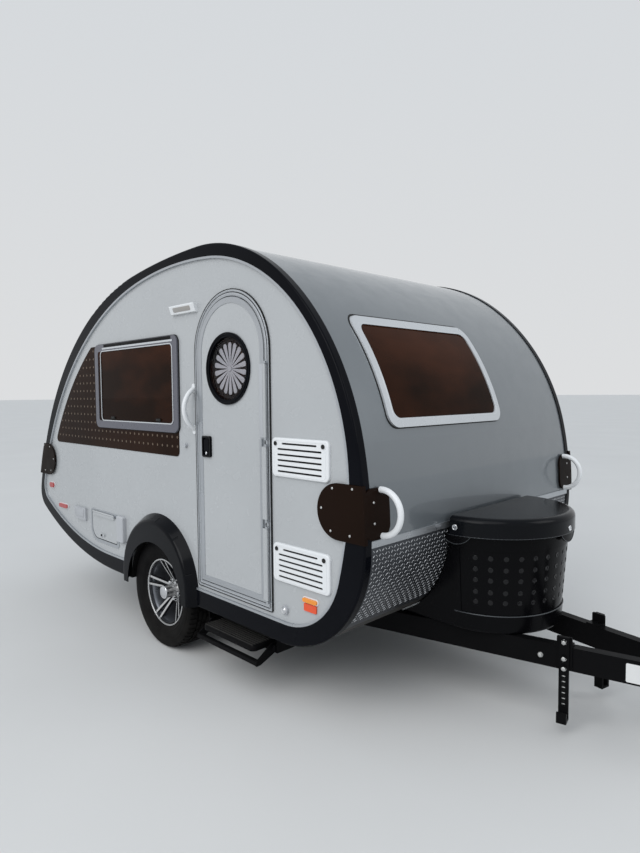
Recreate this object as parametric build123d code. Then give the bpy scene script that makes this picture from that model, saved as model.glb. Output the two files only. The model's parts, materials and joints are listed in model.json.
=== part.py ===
from build123d import *
import os
from math import atan2, cos, degrees, hypot, radians, sin

# Teardrop trailer: x forward to the coupler, y to the left, z up, origin on the ground below its middle.
# All sizes are millimetres. The door side is the right side, at negative y.

# Reach of cutting shapes, beyond every piece
FAR = 5000

# Body box: walls, edge band and the sill line
HALF_WIDTH = 1000
WALL = 35
SHELL = 30
SILL_Z = 355
FLOOR_Z = 397
FLOOR_THICK = 30
BAND_LIP = 6
BAND_PROUD = 12
BAND_ROOF_WIDTH = 46
BAND_ROUND = 9
MOULDING_WIDTH = 12
MOULDING_PROUD = 14
TRIM_Z = 921
TRIM_HEIGHT = 30
APRON_Z = 505

# Outer outline of the body from the front end of the sill, anticlockwise: x, height over the sill
BODY_STATIONS = (
    (669, 0),
    (1209, 520),
    (1169, 1000),
    (655, 1806),
    (-3, 2018),
    (-733, 1956),
    (-2368, 464),
    (-2295, 301),
    (-1045, 0),
)
# Inner edge of the band on the side walls: x, height over the sill
PANEL_STATIONS = (
    (698, 100),
    (1060, 379),
    (1110, 614),
    (906, 1488),
    (102, 1947),
    (-732, 1893),
    (-2280, 520),
    (-2219, 366),
    (-1130, 100),
)

# Wheels and torsion axle
AXLE_X = -475
TYRE_RADIUS = 336
TYRE_WIDTH = 205
TYRE_SHOULDER = 34
TYRE_CROWN = 150
TYRE_TUCK = 3
TYRE_WALL = 12
TYRE_TREAD = 14
RIM_RADIUS = 208
RIM_BEAD = 190.5
RIM_WIDTH = 152
RIM_INSIDE = 22
RIM_PLANE = HALF_WIDTH - RIM_INSIDE
RIM_BARREL = 9
RIM_LIP = 6
SPOKE_PAIRS = 5
SPOKE_START = 97
SPOKE_WIDTH = 15
SPOKE_GAP_HUB = 6
SPOKE_GAP_RIM = 30
SPOKE_INSET = 10
SPOKE_DISH = 16
SPOKE_DEPTH_HUB = 34
SPOKE_DEPTH_RIM = 30
HUB_RADIUS = 66
LUG_CIRCLE = 114.3
LUG_HOLE = 7
LUG_DEPTH = 20
CAP_RADIUS = 36
CAP_LENGTH = 44
DRUM_RADIUS = 127
DRUM_LENGTH = 46
SPINDLE_RADIUS = 19
SPINDLE_FIT = 0.1
SPINDLE_REACH = 24
RUNNING_GAP = 0.3
AXLE_TUBE = 70
AXLE_LEAD = 150
AXLE_TUBE_Z = 244
ARM_THICK = 26
ARM_HEIGHT = 64
ARM_CLEARANCE = 6

# Wheel arches and fenders
ARCH_RADIUS = 372
ARCH_DEPTH = 240
ARCH_INNER_Y = HALF_WIDTH - ARCH_DEPTH
ARCH_LINER = 6
FENDER_Z = 415
FENDER_WALL_RADIUS = 418
FENDER_FACE_RADIUS = 378
FENDER_REACH = 60
FENDER_FACE_Y = HALF_WIDTH + FENDER_REACH
FENDER_OPENING_RADIUS = 318
FENDER_OPENING_Z = 345
FENDER_FOOT_Z = 350
FENDER_SKIN = 6
FENDER_ROUND = 28
FENDER_NOTCH = 7
FENDER_NOTCH_DEPTH = 3
FENDER_NOTCH_ANGLES = (84, 52, 18)

# Door with an arched top, hinged on its front edge
DOOR_X = 280
DOOR_WIDTH = 641
DOOR_BOTTOM = 490
DOOR_TOP = 2104
DOOR_FRAME_PROUD = 8
DOOR_FRAME_LAP = 22
DOOR_GROOVE_IN = 11
DOOR_GROOVE = 5
DOOR_GROOVE_DEPTH = 3
DOOR_JAMB = 10
DOOR_GAP = 6
DOOR_LEAF = 28
DOOR_EDGE_TRIM = 30
DOOR_EDGE_PROUD = 3
DOOR_STOP = 16
DOOR_STOP_GAP = 5
HINGE_RADIUS = 7
HINGE_LENGTH = 360
HINGE_PIN = 3.5
HINGE_GAP = 0.5
HINGE_EAR = 12
HINGE_STRAP = 30
HINGE_HEIGHTS = (722, 1127, 1532)
PORTHOLE_X = 270
PORTHOLE_Z = 1698
PORTHOLE_RADIUS = 188
PORTHOLE_RING = 24
PORTHOLE_PROUD = 10
PORTHOLE_PANE = 6
LATCH_X = 71
LATCH_Z = 1280
LATCH_WIDTH = 80
LATCH_HEIGHT = 116
LATCH_PROUD = 12

# Side windows
SIDE_WINDOW_X = -747
SIDE_WINDOW_Z = 1626
SIDE_WINDOW_WIDTH = 1065
SIDE_WINDOW_HEIGHT = 568
SIDE_WINDOW_ROUND = 44
WINDOW_FRAME = 48
WINDOW_PROUD = 16
WINDOW_PANE = 8
PANE_GAP = 0.3
SKIN_PROUD = 3
SKIN_BEHIND_FRAME = 14
SKIN_ABOVE = 8
SKIN_BELOW = 140
SKIN_TO_MOULDING = 70
SKIN_ROUND = 30

# End windows, cut through the curved shell
FRONT_WINDOW_Y = -280
FRONT_WINDOW_Z = 1673
FRONT_WINDOW_WIDTH = 990
FRONT_WINDOW_HEIGHT = 530
REAR_WINDOW_Z = 1640
REAR_WINDOW_WIDTH = 1150
REAR_WINDOW_HEIGHT = 420
END_WINDOW_ROUND = 66
END_WINDOW_FRAME = 42
END_WINDOW_PROUD = 12

# Wall fittings on the door side: louvred vents, lamps, hatch and covers
VENT_X = 811
VENT_HEIGHTS = (753, 1263)
VENT_WIDTH = 386
VENT_HEIGHT = 188
VENT_PROUD = 14
VENT_ROUND = 26
VENT_EDGE = 8
VENT_SLOTS = 6
VENT_SLOT_WIDTH = 300
VENT_TOP_SLOT_WIDTH = 236
VENT_SLOT_HEIGHT = 9
VENT_SLOT_PITCH = 26.5
VENT_KNOB_IN = 32
VENT_KNOB_RADIUS = 10
HATCH_X = -1226
HATCH_Z = 632
HATCH_WIDTH = 424
HATCH_HEIGHT = 232
HATCH_ROUND = 26
HATCH_SWEEP = 96
HATCH_FRAME = 22
HATCH_PROUD = 5
HATCH_GAP = 6
HATCH_LEAF = 18
HATCH_ROD = 3.5
HATCH_SLEEVE = 6
PORCH_LAMP_X = -137
PORCH_LAMP_Z = 2046
PORCH_LAMP_LENGTH = 252
PORCH_LAMP_HEIGHT = 50
PORCH_LAMP_PROUD = 36
PORCH_LAMP_SLOPE = 18
HANDLE_X = -61
HANDLE_LOW = 1368
HANDLE_HIGH = 1600
HANDLE_REACH = 70
HANDLE_TUBE = 13
HANDLE_FOOT = 17

# Corner guards and the grab loops on the end faces
GUARD_Z = 1052
GUARD_HEIGHT = 250
GUARD_PROUD = 8
GUARD_FRONT_X = 936
GUARD_REAR_X = -2040
GUARD_WRAP = 150
GUARD_PAD_Y = HALF_WIDTH - GUARD_WRAP
GUARD_PAD_INSET = 15
GUARD_PAD_ROUND = 60
GUARD_END = 60
GUARD_FRONT_START = 200
GUARD_REAR_START = 250
LOOP_INSET = 95
LOOP_Y = HALF_WIDTH - LOOP_INSET
LOOP_TUBE = 14
LOOP_RADIUS = 98

# Chassis: two beams that meet at the coupler, rails under the floor and cross members
BALL_X = 2367
BEAM_HEIGHT = 110
BEAM_WIDTH = 50
BEAM_WALL = 5
BEAM_SETBACK = 117
BEAM_FRONT_X = BALL_X - BEAM_SETBACK
BEAM_FRONT_Y = 74
BEAM_KNEE_X = 50
BEAM_KNEE_Y = 571
RAIL_REAR_X = -1780
CROSS_WIDTH = 60
CROSS_HEIGHT = 90
CROSS_WALL = 4
CROSS_PLACES = (1080, 50, -1150, -1770)
BEAM_TOP = FLOOR_Z

# Coupler for a ball of 50.8 mm
COUPLER_NOSE = 50
BALL_BORE = 26
BALL_DEPTH = 16
COUPLER_NECK = 44
COUPLER_PLATE = 22
COUPLER_LOW = 318
LEVER_SETBACK = 105
LEVER_LENGTH = 96
LEVER_HEIGHT = 32
LEVER_TAIL_SETBACK = 152
LEVER_TAIL = 80
LEVER_THICK = 18

# Side jack on the left beam
JACK_SETBACK = 307
JACK_X = BALL_X - JACK_SETBACK
JACK_OFFSET = 78
JACK_TUBE = 28
JACK_TUBE_WALL = 4
JACK_LEG_WALL = 4
JACK_TRAVEL = 190
JACK_TOP_GAP = 15
JACK_PLATE = 100
JACK_PLATE_HEIGHT = 88
JACK_PIVOT_Z = 340
JACK_LOW = 215
JACK_HIGH = 600
JACK_FOOT = 62
JACK_FOOT_THICK = 8
JACK_FIT = 0.3
JACK_HUB = 32
JACK_HUB_LENGTH = 22
JACK_PIN = 15
JACK_SIDE_GAP = 2
CRANK_ARM = 130
CRANK_OUT = 30
CRANK_GRIP = 80
CRANK_GRIP_RADIUS = 13

# Spring bar brackets that hang from the tongue beams, ahead of the tub
BRACKET_LEAD = 75
BRACKET_WIDTH = 44
BRACKET_BAR = 12
BRACKET_LOW = 62
BRACKET_HIGH = 446
BRACKET_FOOT = 46
BRACKET_BOLTS = (306, 352, 424)

# Hinges with a fixed rod and a turning sleeve
HINGE_ROD = 5
HINGE_SLEEVE = 9

# Storage tub on the tongue
TUB_X = 1225
TUB_BACK = 330
TUB_RADIUS = 388
TUB_BOTTOM_RADIUS = 350
TUB_BOTTOM = 397
TUB_RIM = 905
TUB_WALL = 7
TUB_FOOT_ROUND = 18
TUB_BACK_GAP = 8
TUB_PANEL_LOW = 490
TUB_PANEL_HIGH = 808
TUB_PANEL_DEPTH = 4.5
TUB_PANEL_HALF_ANGLE = 84
TUB_LID_RADIUS = 410
BRACKET_X = TUB_X + TUB_LID_RADIUS + BRACKET_LEAD
TUB_LID_BOTTOM = 874
TUB_LID_TOP = 968
TUB_LID_WALL = 5
TUB_LID_ROUND = 30
TUB_LID_BACK_GAP = 26
TUB_PIVOT_X = 1222
TUB_PIVOT_Z = 950
TUB_LUGS = (-250, 250)
BATTERY = (1250, 1410, -250, -60, 404, 630)
BOTTLE_PLACE = (1375, 115)
BOTTLE_RADIUS = 138
BOTTLE_TOP = 820

# Entry step that slides out below the door
STEP_X = 268
STEP_WIDTH = 576
STEP_TREAD = 444
STEP_DEPTH = 176
STEP_OUT_Y = HALF_WIDTH - 130
STEP_INNER_Y = HALF_WIDTH - 220
STEP_LOW = 258
STEP_TOP = 294
STEP_THICK = 30
STEP_NOSE = 14
STEP_RAIL = 16
STEP_RAIL_GAP = 6
STEP_RAIL_OUT_Y = HALF_WIDTH - 50
STEP_RAIL_IN_Y = HALF_WIDTH - 410
STEP_SEAT = 0.3
STEP_BAR_Z = 205
STEP_BAR_Y = HALF_WIDTH + 30
STEP_BAR = 26
STEP_CHEEK = 26
STEP_PLATE = 6

# Folding stabiliser legs at the rear
STABILISER_X = -1640
STABILISER_Y = 546
STABILISER_LENGTH = 236
STABILISER_TUBE = 34
STABILISER_PIVOT_Z = 258
STABILISER_PIN = 8
STABILISER_SIDE_GAP = 2

# Roof vent
ROOF_VENT_X = -330
ROOF_VENT_SIZE = 400
ROOF_VENT_RISE = 40
ROOF_VENT_PIVOT = 9
ROOF_VENT_LID = 46
ROOF_VENT_LAP = 24
ROOF_VENT_WALL = 8

# Rear lamps, side markers and number plate holder
TAIL_LAMP_Y = 690
TAIL_LAMP_Z = 1068
TAIL_LAMP_RADIUS = 62
TAIL_LAMP_PROUD = 18
MARKER_PROUD = 12
RED_MARKERS = ((-2145, 843, 81, 40), (-1930, 700, 155, 30))
AMBER_X = 869
AMBER_Z = 608
AMBER_LENGTH = 94
AMBER_HEIGHT = 20
REFLECTOR_WIDTH = 82
REFLECTOR_HEIGHT = 36
REFLECTOR_DROP = 34
REFLECTOR_PROUD = 7
PLATE_Z = 1068
PLATE_WIDTH = 320
PLATE_HEIGHT = 160
PLATE_HOLE_PITCH = 178
PLATE_HOLE = 3.5
PLATE_THICK = 10

# Small fittings of the right wall: x, height, radius and how far they stand out
OUTLET_X = -1606
OUTLET_Z = 687
OUTLET_WIDTH = 191
OUTLET_HEIGHT = 92
OUTLET_CUT = 34
INLET_X = -955
INLET_Z = 662
INLET_WIDTH = 92
INLET_HEIGHT = 180
ROUND_FITTINGS = (
    (695, 524, 22, 12),
    (-150, 1537, 16, 14),
    (-150, 1437, 16, 14),
    (-150, 1274, 12, 18),
)

# Cabin inside
GALLEY_BACK_X = 560
GALLEY_TOP = 1290
GALLEY_LEFT_Y = 250
BOARD = 18
COUNTER_THICK = 28
SINK_WIDTH = 340
SINK_DEPTH = 260
SINK_BOWL = 130
SINK_X = 850
SINK_Y = -240
SINK_ROUND = 30
SINK_WALL = 3
SINK_FLANGE = 14
SINK_FLANGE_THICK = 2
FAUCET_BACK = 50
FAUCET_HEIGHT = 250
FAUCET_REACH = 150
FAUCET_DROP = 60
FAUCET_BEND = 55
FAUCET_TUBE = 11
FAUCET_COLLAR = 24
FAUCET_COLLAR_HEIGHT = 36
FAUCET_LEVER = 70
BATH_WALL_X = 330
BED_FRONT_X = -700
BED_REAR_X = -2080
BED_TOP = 800
BENCH_FRONT_X = -80
BENCH_Y = 480
CUSHION_THICK = 95
CUSHION_GAP = 12
BOARD_GAP = 4
WELL_GAP = 10
FRIDGE_INSET = 60
FRIDGE = (590, 846, FRIDGE_INSET - HALF_WIDTH, -480, FLOOR_Z + FLOOR_THICK, 1230)

BODY_OUTLINE = [(x, SILL_Z + rise) for x, rise in BODY_STATIONS]
PANEL_OUTLINE = [(x, SILL_Z + rise) for x, rise in PANEL_STATIONS]
INNER_Y = HALF_WIDTH - WALL
MIDDLE_X = (BODY_OUTLINE[0][0] + BODY_OUTLINE[-1][0]) / 2
MIDDLE_Z = BODY_OUTLINE[2][1]
REAR_X = BODY_OUTLINE[6][0] - 2 * SHELL
AXLE_Z = TYRE_RADIUS
TYRE_Y = RIM_PLANE - RIM_WIDTH / 2


def arc_outline(stations):
    """Face of a straight sill and arcs that each leave the one before in line."""
    points = [Vector(x, z) for x, z in stations]
    edges = []
    heading = Vector(1, 0)
    for start, end in zip(points, points[1:]):
        arc = TangentArc(start, end, tangent=heading)
        heading = arc % 1
        edges.append(arc)
    edges.append(Line(points[-1], points[0]))
    return make_face(edges)


def across(face, y_from, y_to):
    """Solid of a face drawn in x and z, from one y to the other."""
    return extrude(Plane.XZ.offset(-y_from) * face, amount=y_from - y_to)


def along(face, x_from, x_to):
    """Solid of a face drawn in y and z, from one x to the other."""
    return extrude(Plane.YZ.offset(x_from) * face, amount=x_to - x_from)


def upward(face, z_from, z_to):
    """Solid of a face drawn in x and y, from one height to the other."""
    return extrude(Plane.XY.offset(z_from) * face, amount=z_to - z_from)


def block(x_from, x_to, y_from, y_to, z_from, z_to):
    """Box between two corners."""
    size = (abs(x_to - x_from), abs(y_to - y_from), abs(z_to - z_from))
    middle = ((x_from + x_to) / 2, (y_from + y_to) / 2, (z_from + z_to) / 2)
    return Pos(*middle) * Box(*size)


def rod_y(x, z, radius, y_from, y_to):
    """Round bar along y."""
    return across(Pos(x, z) * Circle(radius), y_from, y_to)


def other_side(solid):
    """The same piece on the left side."""
    return mirror(solid, about=Plane.XZ)


def both_sides(solid):
    """The piece with its mirror image, as two solids."""
    return Compound([*solid.solids(), *other_side(solid).solids()])


def rounded(width, height, radius):
    """Rounded rectangle round the origin."""
    return RectangleRounded(width, height, radius)


BODY_FACE = arc_outline(BODY_OUTLINE)
PANEL_FACE = arc_outline(PANEL_OUTLINE)
SKIN_FACE = offset(BODY_FACE, amount=-BAND_LIP)
LINING_FACE = offset(BODY_FACE, amount=-BAND_LIP - SHELL)


def shell_layer(out_from, out_to, half_width):
    """Curved layer of the body between two distances out from the skin."""
    outer = offset(SKIN_FACE, amount=out_to)
    inner = offset(SKIN_FACE, amount=out_from) if out_from else SKIN_FACE
    return across(outer, half_width, -half_width) - across(inner, half_width, -half_width)


def arch_face(centre_z, radius, low_z):
    """Round arch over the axle with straight legs down to a height."""
    left, right = Vector(AXLE_X - radius, centre_z), Vector(AXLE_X + radius, centre_z)
    left_foot, right_foot = Vector(AXLE_X - radius, low_z), Vector(AXLE_X + radius, low_z)
    arch = ThreePointArc(left, Vector(AXLE_X, centre_z + radius), right)
    return make_face([arch, Line(right, right_foot), Line(right_foot, left_foot), Line(left_foot, left)])


def window_prism(y, z, width, height, radius, ahead):
    """Rounded bar along x through the front (ahead) or rear end of the body."""
    face = Pos(y, z) * rounded(width, height, radius)
    end = BODY_OUTLINE[1][0] + SHELL if ahead else REAR_X
    return along(face, MIDDLE_X, end)


FRONT_WINDOW = (FRONT_WINDOW_Y, FRONT_WINDOW_Z, FRONT_WINDOW_WIDTH, FRONT_WINDOW_HEIGHT, True)
REAR_WINDOW = (0, REAR_WINDOW_Z, REAR_WINDOW_WIDTH, REAR_WINDOW_HEIGHT, False)


def end_window(window, inset):
    """Prism of an end window, drawn in from its outer edge."""
    y, z, width, height, ahead = window
    return window_prism(
        y, z, width - 2 * inset, height - 2 * inset, END_WINDOW_ROUND - inset / 2, ahead
    )


def end_window_frame(window):
    """Curved frame that lies on the shell and lines its opening."""
    flange = shell_layer(0, END_WINDOW_PROUD, INNER_Y) & end_window(window, 0)
    sleeve = shell_layer(-SHELL, 0, INNER_Y) & end_window(window, END_WINDOW_FRAME / 2)
    return flange + sleeve - end_window(window, END_WINDOW_FRAME)


def end_window_pane(window):
    """Curved pane that fills the frame."""
    layer = shell_layer(END_WINDOW_PROUD / 2 - WINDOW_PANE, END_WINDOW_PROUD / 2, INNER_Y)
    return layer & end_window(window, END_WINDOW_FRAME + PANE_GAP)


def shell_ring():
    """Roof, front and rear of the body above the floor."""
    ring = across(SKIN_FACE, INNER_Y, -INNER_Y) - across(LINING_FACE, INNER_Y, -INNER_Y)
    below = block(-FAR, FAR, -INNER_Y, INNER_Y, 0, FLOOR_Z)
    return ring - below


def front_lower_region():
    """Space ahead of the cabin below the front trim line."""
    return block(0, FAR, -HALF_WIDTH, HALF_WIDTH, 0, TRIM_Z)


def body_shell():
    """Skin of the roof, rear and upper front, with the two end windows cut."""
    shell = shell_ring() - front_lower_region()
    for window in (FRONT_WINDOW, REAR_WINDOW):
        shell -= end_window(window, END_WINDOW_FRAME / 2)
    return shell - roof_vent_prism(ROOF_VENT_LAP)


def roof_vent_prism(inset):
    """Square column through the roof, drawn in from the roof vent's flange."""
    half = ROOF_VENT_SIZE / 2 - inset
    return block(ROOF_VENT_X - half, ROOF_VENT_X + half, -half, half, MIDDLE_Z, FAR)


def front_checker_plate():
    """Lower front plate between the trim line and the apron."""
    return (shell_ring() & front_lower_region()) - block(0, FAR, -HALF_WIDTH, HALF_WIDTH, 0, APRON_Z)


def front_trim():
    """Bright strip over the joint of the lower front plate."""
    band_inner = HALF_WIDTH - BAND_ROOF_WIDTH + BAND_PROUD
    layer = shell_layer(0, BAND_LIP, band_inner)
    low = TRIM_Z - TRIM_HEIGHT / 2
    return layer & block(0, FAR, -band_inner, band_inner, low, low + TRIM_HEIGHT)


def floor_pan():
    """Floor board with the apron that turns up at the front."""
    board = across(LINING_FACE, INNER_Y, -INNER_Y)
    board &= block(-FAR, FAR, -INNER_Y, INNER_Y, FLOOR_Z, FLOOR_Z + FLOOR_THICK)
    apron = shell_ring() & block(0, FAR, -INNER_Y, INNER_Y, FLOOR_Z, APRON_Z)
    floor = board + apron
    for side in (-1, 1):
        floor -= block(
            AXLE_X - ARCH_RADIUS - ARCH_LINER, AXLE_X + ARCH_RADIUS + ARCH_LINER,
            side * (ARCH_INNER_Y - ARCH_LINER), side * INNER_Y,
            FLOOR_Z, FLOOR_Z + FLOOR_THICK,
        )
    return floor


def wheel_wells():
    """Liners that close the cabin over each wheel."""
    outer = arch_face(AXLE_Z, ARCH_RADIUS + ARCH_LINER, FLOOR_Z - 100)
    inner = arch_face(AXLE_Z, ARCH_RADIUS, FLOOR_Z - 100)
    liner = across(outer, -ARCH_INNER_Y + ARCH_LINER, -INNER_Y)
    liner -= across(inner, -ARCH_INNER_Y, -INNER_Y)
    liner -= block(-FAR, FAR, -HALF_WIDTH, 0, 0, FLOOR_Z)
    return both_sides(liner)


def door_face(inset):
    """Door shape with a round top, drawn in from the frame's outer edge."""
    radius = DOOR_WIDTH / 2 - inset
    spring = DOOR_TOP - DOOR_WIDTH / 2
    low = DOOR_BOTTOM + inset
    straight = Pos(DOOR_X, (spring + low) / 2) * Rectangle(2 * radius, spring - low)
    return straight + Pos(DOOR_X, spring) * Circle(radius)


def side_window_face(inset):
    """Side window shape, drawn in from the frame's outer edge."""
    shape = rounded(
        SIDE_WINDOW_WIDTH - 2 * inset, SIDE_WINDOW_HEIGHT - 2 * inset, SIDE_WINDOW_ROUND - inset / 2
    )
    return Pos(SIDE_WINDOW_X, SIDE_WINDOW_Z) * shape


def hatch_face(inset):
    """Storage hatch shape with its lower rear corner swept up along the band."""
    left = HATCH_X - HATCH_WIDTH / 2 + inset
    right = HATCH_X + HATCH_WIDTH / 2 - inset
    low = HATCH_Z - HATCH_HEIGHT / 2 + inset
    high = HATCH_Z + HATCH_HEIGHT / 2 - inset
    corners = ((left, low), (right, low), (right, high), (left, high))
    rounds = (HATCH_SWEEP, HATCH_ROUND, HATCH_ROUND, HATCH_ROUND)
    edges = FilletPolyline(*corners, radius=[r - inset / 2 for r in rounds], close=True)
    return make_face(edges)


def side_wall():
    """Right side wall with door, window, hatch and wheel openings."""
    wall = across(SKIN_FACE, -INNER_Y, -HALF_WIDTH)
    openings = (
        door_face(DOOR_FRAME_LAP),
        side_window_face(WINDOW_FRAME / 2),
        hatch_face(HATCH_FRAME / 2),
        arch_face(AXLE_Z, ARCH_RADIUS, 0),
    )
    for face in openings:
        wall -= across(face, 0, -2 * HALF_WIDTH)
    return wall


def left_wall():
    """Left side wall with window and wheel openings."""
    wall = across(SKIN_FACE, -INNER_Y, -HALF_WIDTH)
    for face in (side_window_face(WINDOW_FRAME / 2), arch_face(AXLE_Z, ARCH_RADIUS, 0)):
        wall -= across(face, 0, -2 * HALF_WIDTH)
    return other_side(wall)


def fender_clearance(proud):
    """Region that the fender takes on a side wall."""
    face = arch_face(FENDER_Z, FENDER_WALL_RADIUS, 0)
    return across(face, -HALF_WIDTH + BAND_ROOF_WIDTH, -HALF_WIDTH - proud)


def edge_band():
    """Black band that wraps the right edge of the body, open at the fender."""
    outer_y = -HALF_WIDTH - BAND_PROUD
    cheek = across(BODY_FACE, -HALF_WIDTH, outer_y) - across(PANEL_FACE, -HALF_WIDTH, outer_y)
    lip = across(BODY_FACE, outer_y + BAND_ROOF_WIDTH, outer_y) - across(SKIN_FACE, 0, outer_y)
    band = cheek + lip
    outline_edges = [
        edge
        for edge in band.edges().filter_by_position(Axis.Y, outer_y - 1, outer_y + 1)
        if abs(edge.length) > 2 * BAND_ROUND
    ]
    rim = [edge for edge in outline_edges if not inside_panel(edge)]
    band = fillet(rim, BAND_ROUND)
    return band - fender_clearance(BAND_PROUD)


def inside_panel(edge):
    """Whether an edge of the cheek lies on the panel's outline."""
    point = edge @ 0.5
    reach = PANEL_FACE.distance_to(Vertex(point.X, point.Z, 0))
    return reach < 1


def panel_moulding():
    """Bright strip along the inner edge of the band."""
    inner = offset(PANEL_FACE, amount=-MOULDING_WIDTH)
    strip = across(PANEL_FACE, -HALF_WIDTH, -HALF_WIDTH - MOULDING_PROUD)
    strip -= across(inner, -HALF_WIDTH, -HALF_WIDTH - MOULDING_PROUD)
    return strip - fender_clearance(MOULDING_PROUD)


def fender():
    """Flared fender: a tapered arch wall that turns into an outer face with the wheel opening."""
    sections = []
    for inset in (0, FENDER_SKIN):
        wall = arch_face(FENDER_Z, FENDER_WALL_RADIUS - inset, FENDER_FOOT_Z - inset)
        face = arch_face(FENDER_Z, FENDER_FACE_RADIUS - inset, FENDER_FOOT_Z - inset)
        near = Plane.XZ.offset(HALF_WIDTH) * wall
        far = Plane.XZ.offset(FENDER_FACE_Y - inset) * face
        sections.append(loft([near.face(), far.face()], ruled=True))
    hollow = sections[1]
    body = fillet(outer_face_edges(sections[0]), FENDER_ROUND) - hollow
    opening = arch_face(FENDER_OPENING_Z, FENDER_OPENING_RADIUS, 0)
    body -= across(opening, -HALF_WIDTH, -FENDER_FACE_Y - 10)
    body -= block(-FAR, FAR, -2 * HALF_WIDTH, 0, 0, FENDER_FOOT_Z)
    for angle in FENDER_NOTCH_ANGLES:
        body -= fender_notch(angle)
    return body


def fender_notch(angle):
    """Groove across the fender's roll, at an angle from the x direction."""
    drop = FENDER_WALL_RADIUS - FENDER_FACE_RADIUS
    reach = FENDER_FACE_Y - HALF_WIDTH
    slope = hypot(drop, reach)
    lean = degrees(atan2(drop, reach))
    groove = Cylinder(FENDER_NOTCH, slope / 2, align=(Align.CENTER, Align.CENTER, Align.MIN))
    lift = FENDER_NOTCH - FENDER_NOTCH_DEPTH
    local = Pos(FENDER_WALL_RADIUS, -HALF_WIDTH) * Rot(0, 0, -lean) * Pos(lift, 0) * Rot(90, 0, 0) * Pos(0, 0, slope * 0.4)
    return Pos(AXLE_X, 0, FENDER_Z) * Rot(0, -angle, 0) * local * groove


def outer_face_edges(solid):
    """Upper edges of a fender's outer face."""
    face = solid.faces().sort_by(Axis.Y)[0]
    return [edge for edge in face.edges() if (edge @ 0.5).Z > FENDER_FOOT_Z + 1]


def door_frame():
    """Frame of the door: a grooved face flange outside and a jamb through the wall."""
    outer_y = -HALF_WIDTH - DOOR_FRAME_PROUD
    flange = across(door_face(0), -HALF_WIDTH, outer_y)
    jamb = across(door_face(DOOR_FRAME_LAP), -INNER_Y, -HALF_WIDTH)
    recess = across(door_face(DOOR_FRAME_LAP + DOOR_JAMB), outer_y + DOOR_LEAF + DOOR_STOP_GAP, -2 * HALF_WIDTH)
    inside = across(door_face(DOOR_FRAME_LAP + DOOR_JAMB + DOOR_STOP), 0, -2 * HALF_WIDTH)
    groove = across(door_face(DOOR_GROOVE_IN), outer_y + DOOR_GROOVE_DEPTH, outer_y)
    groove -= across(door_face(DOOR_GROOVE_IN + DOOR_GROOVE), outer_y + DOOR_GROOVE_DEPTH, outer_y)
    return flange + jamb - groove - recess - inside


HINGE_X = DOOR_X + DOOR_WIDTH / 2 - DOOR_FRAME_LAP - DOOR_JAMB + HINGE_RADIUS
HINGE_Y = -HALF_WIDTH - DOOR_FRAME_PROUD - HINGE_RADIUS - 1


def door_leaf():
    """Door leaf with the porthole cut and a sleeve for each hinge pin."""
    leaf_face = door_face(DOOR_FRAME_LAP + DOOR_JAMB + DOOR_GAP)
    outer_y = -HALF_WIDTH - DOOR_FRAME_PROUD
    leaf = across(leaf_face, outer_y + DOOR_LEAF, outer_y)
    leaf -= rod_y(PORTHOLE_X, PORTHOLE_Z, PORTHOLE_RADIUS - PORTHOLE_RING / 2, 0, -2 * HALF_WIDTH)
    edge_x = DOOR_X + DOOR_WIDTH / 2 - DOOR_FRAME_LAP - DOOR_JAMB - DOOR_GAP
    for height in HINGE_HEIGHTS:
        low, high = height - HINGE_LENGTH / 2, height + HINGE_LENGTH / 2
        leaf += block(edge_x - HINGE_STRAP, edge_x, HINGE_Y - 2, outer_y, low, high)
        leaf += block(edge_x - HINGE_STRAP, HINGE_X, HINGE_Y - 2, HINGE_Y + 4, low, high)
        leaf += upward(Pos(HINGE_X, HINGE_Y) * Circle(HINGE_RADIUS), low, high)
    for height in HINGE_HEIGHTS:
        pin = Pos(HINGE_X, HINGE_Y) * Circle(HINGE_PIN + SPINDLE_FIT)
        leaf -= upward(pin, height - HINGE_LENGTH / 2, height + HINGE_LENGTH / 2)
    return leaf


def door_edge_trim():
    """Bright border round the door leaf, open at the hinge straps."""
    outer_y = -HALF_WIDTH - DOOR_FRAME_PROUD
    inset = DOOR_FRAME_LAP + DOOR_JAMB + DOOR_GAP
    trim = across(door_face(inset), outer_y, outer_y - DOOR_EDGE_PROUD)
    trim -= across(door_face(inset + DOOR_EDGE_TRIM), outer_y, outer_y - DOOR_EDGE_PROUD)
    strap_x = DOOR_X + DOOR_WIDTH / 2 - inset - HINGE_STRAP
    for height in HINGE_HEIGHTS:
        low, high = height - HINGE_LENGTH / 2, height + HINGE_LENGTH / 2
        trim -= block(strap_x, strap_x + 2 * HINGE_STRAP, -FAR, 0, low, high)
    return trim


def hinge_plates():
    """Fixed part of each door hinge: a pin between two ears on the frame."""
    outer_y = -HALF_WIDTH - DOOR_FRAME_PROUD
    plates = []
    for height in HINGE_HEIGHTS:
        half = HINGE_LENGTH / 2 + HINGE_GAP
        pin = upward(Pos(HINGE_X, HINGE_Y) * Circle(HINGE_PIN), height - half - 4, height + half + 4)
        for low in (height - half - HINGE_EAR, height + half):
            pin += block(HINGE_X - 4, HINGE_X + 13, HINGE_Y - HINGE_RADIUS, outer_y, low, low + HINGE_EAR)
        plates += pin.solids()
    return Compound(plates)


def porthole_ring():
    """Ring that clamps the round window on both faces of the leaf."""
    outer_y = -HALF_WIDTH - DOOR_FRAME_PROUD
    ring = rod_y(PORTHOLE_X, PORTHOLE_Z, PORTHOLE_RADIUS, outer_y, outer_y - PORTHOLE_PROUD)
    ring += rod_y(
        PORTHOLE_X, PORTHOLE_Z, PORTHOLE_RADIUS - PORTHOLE_RING / 2, outer_y + DOOR_LEAF, outer_y
    )
    return ring - rod_y(PORTHOLE_X, PORTHOLE_Z, PORTHOLE_RADIUS - PORTHOLE_RING, 0, -2 * HALF_WIDTH)


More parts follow.
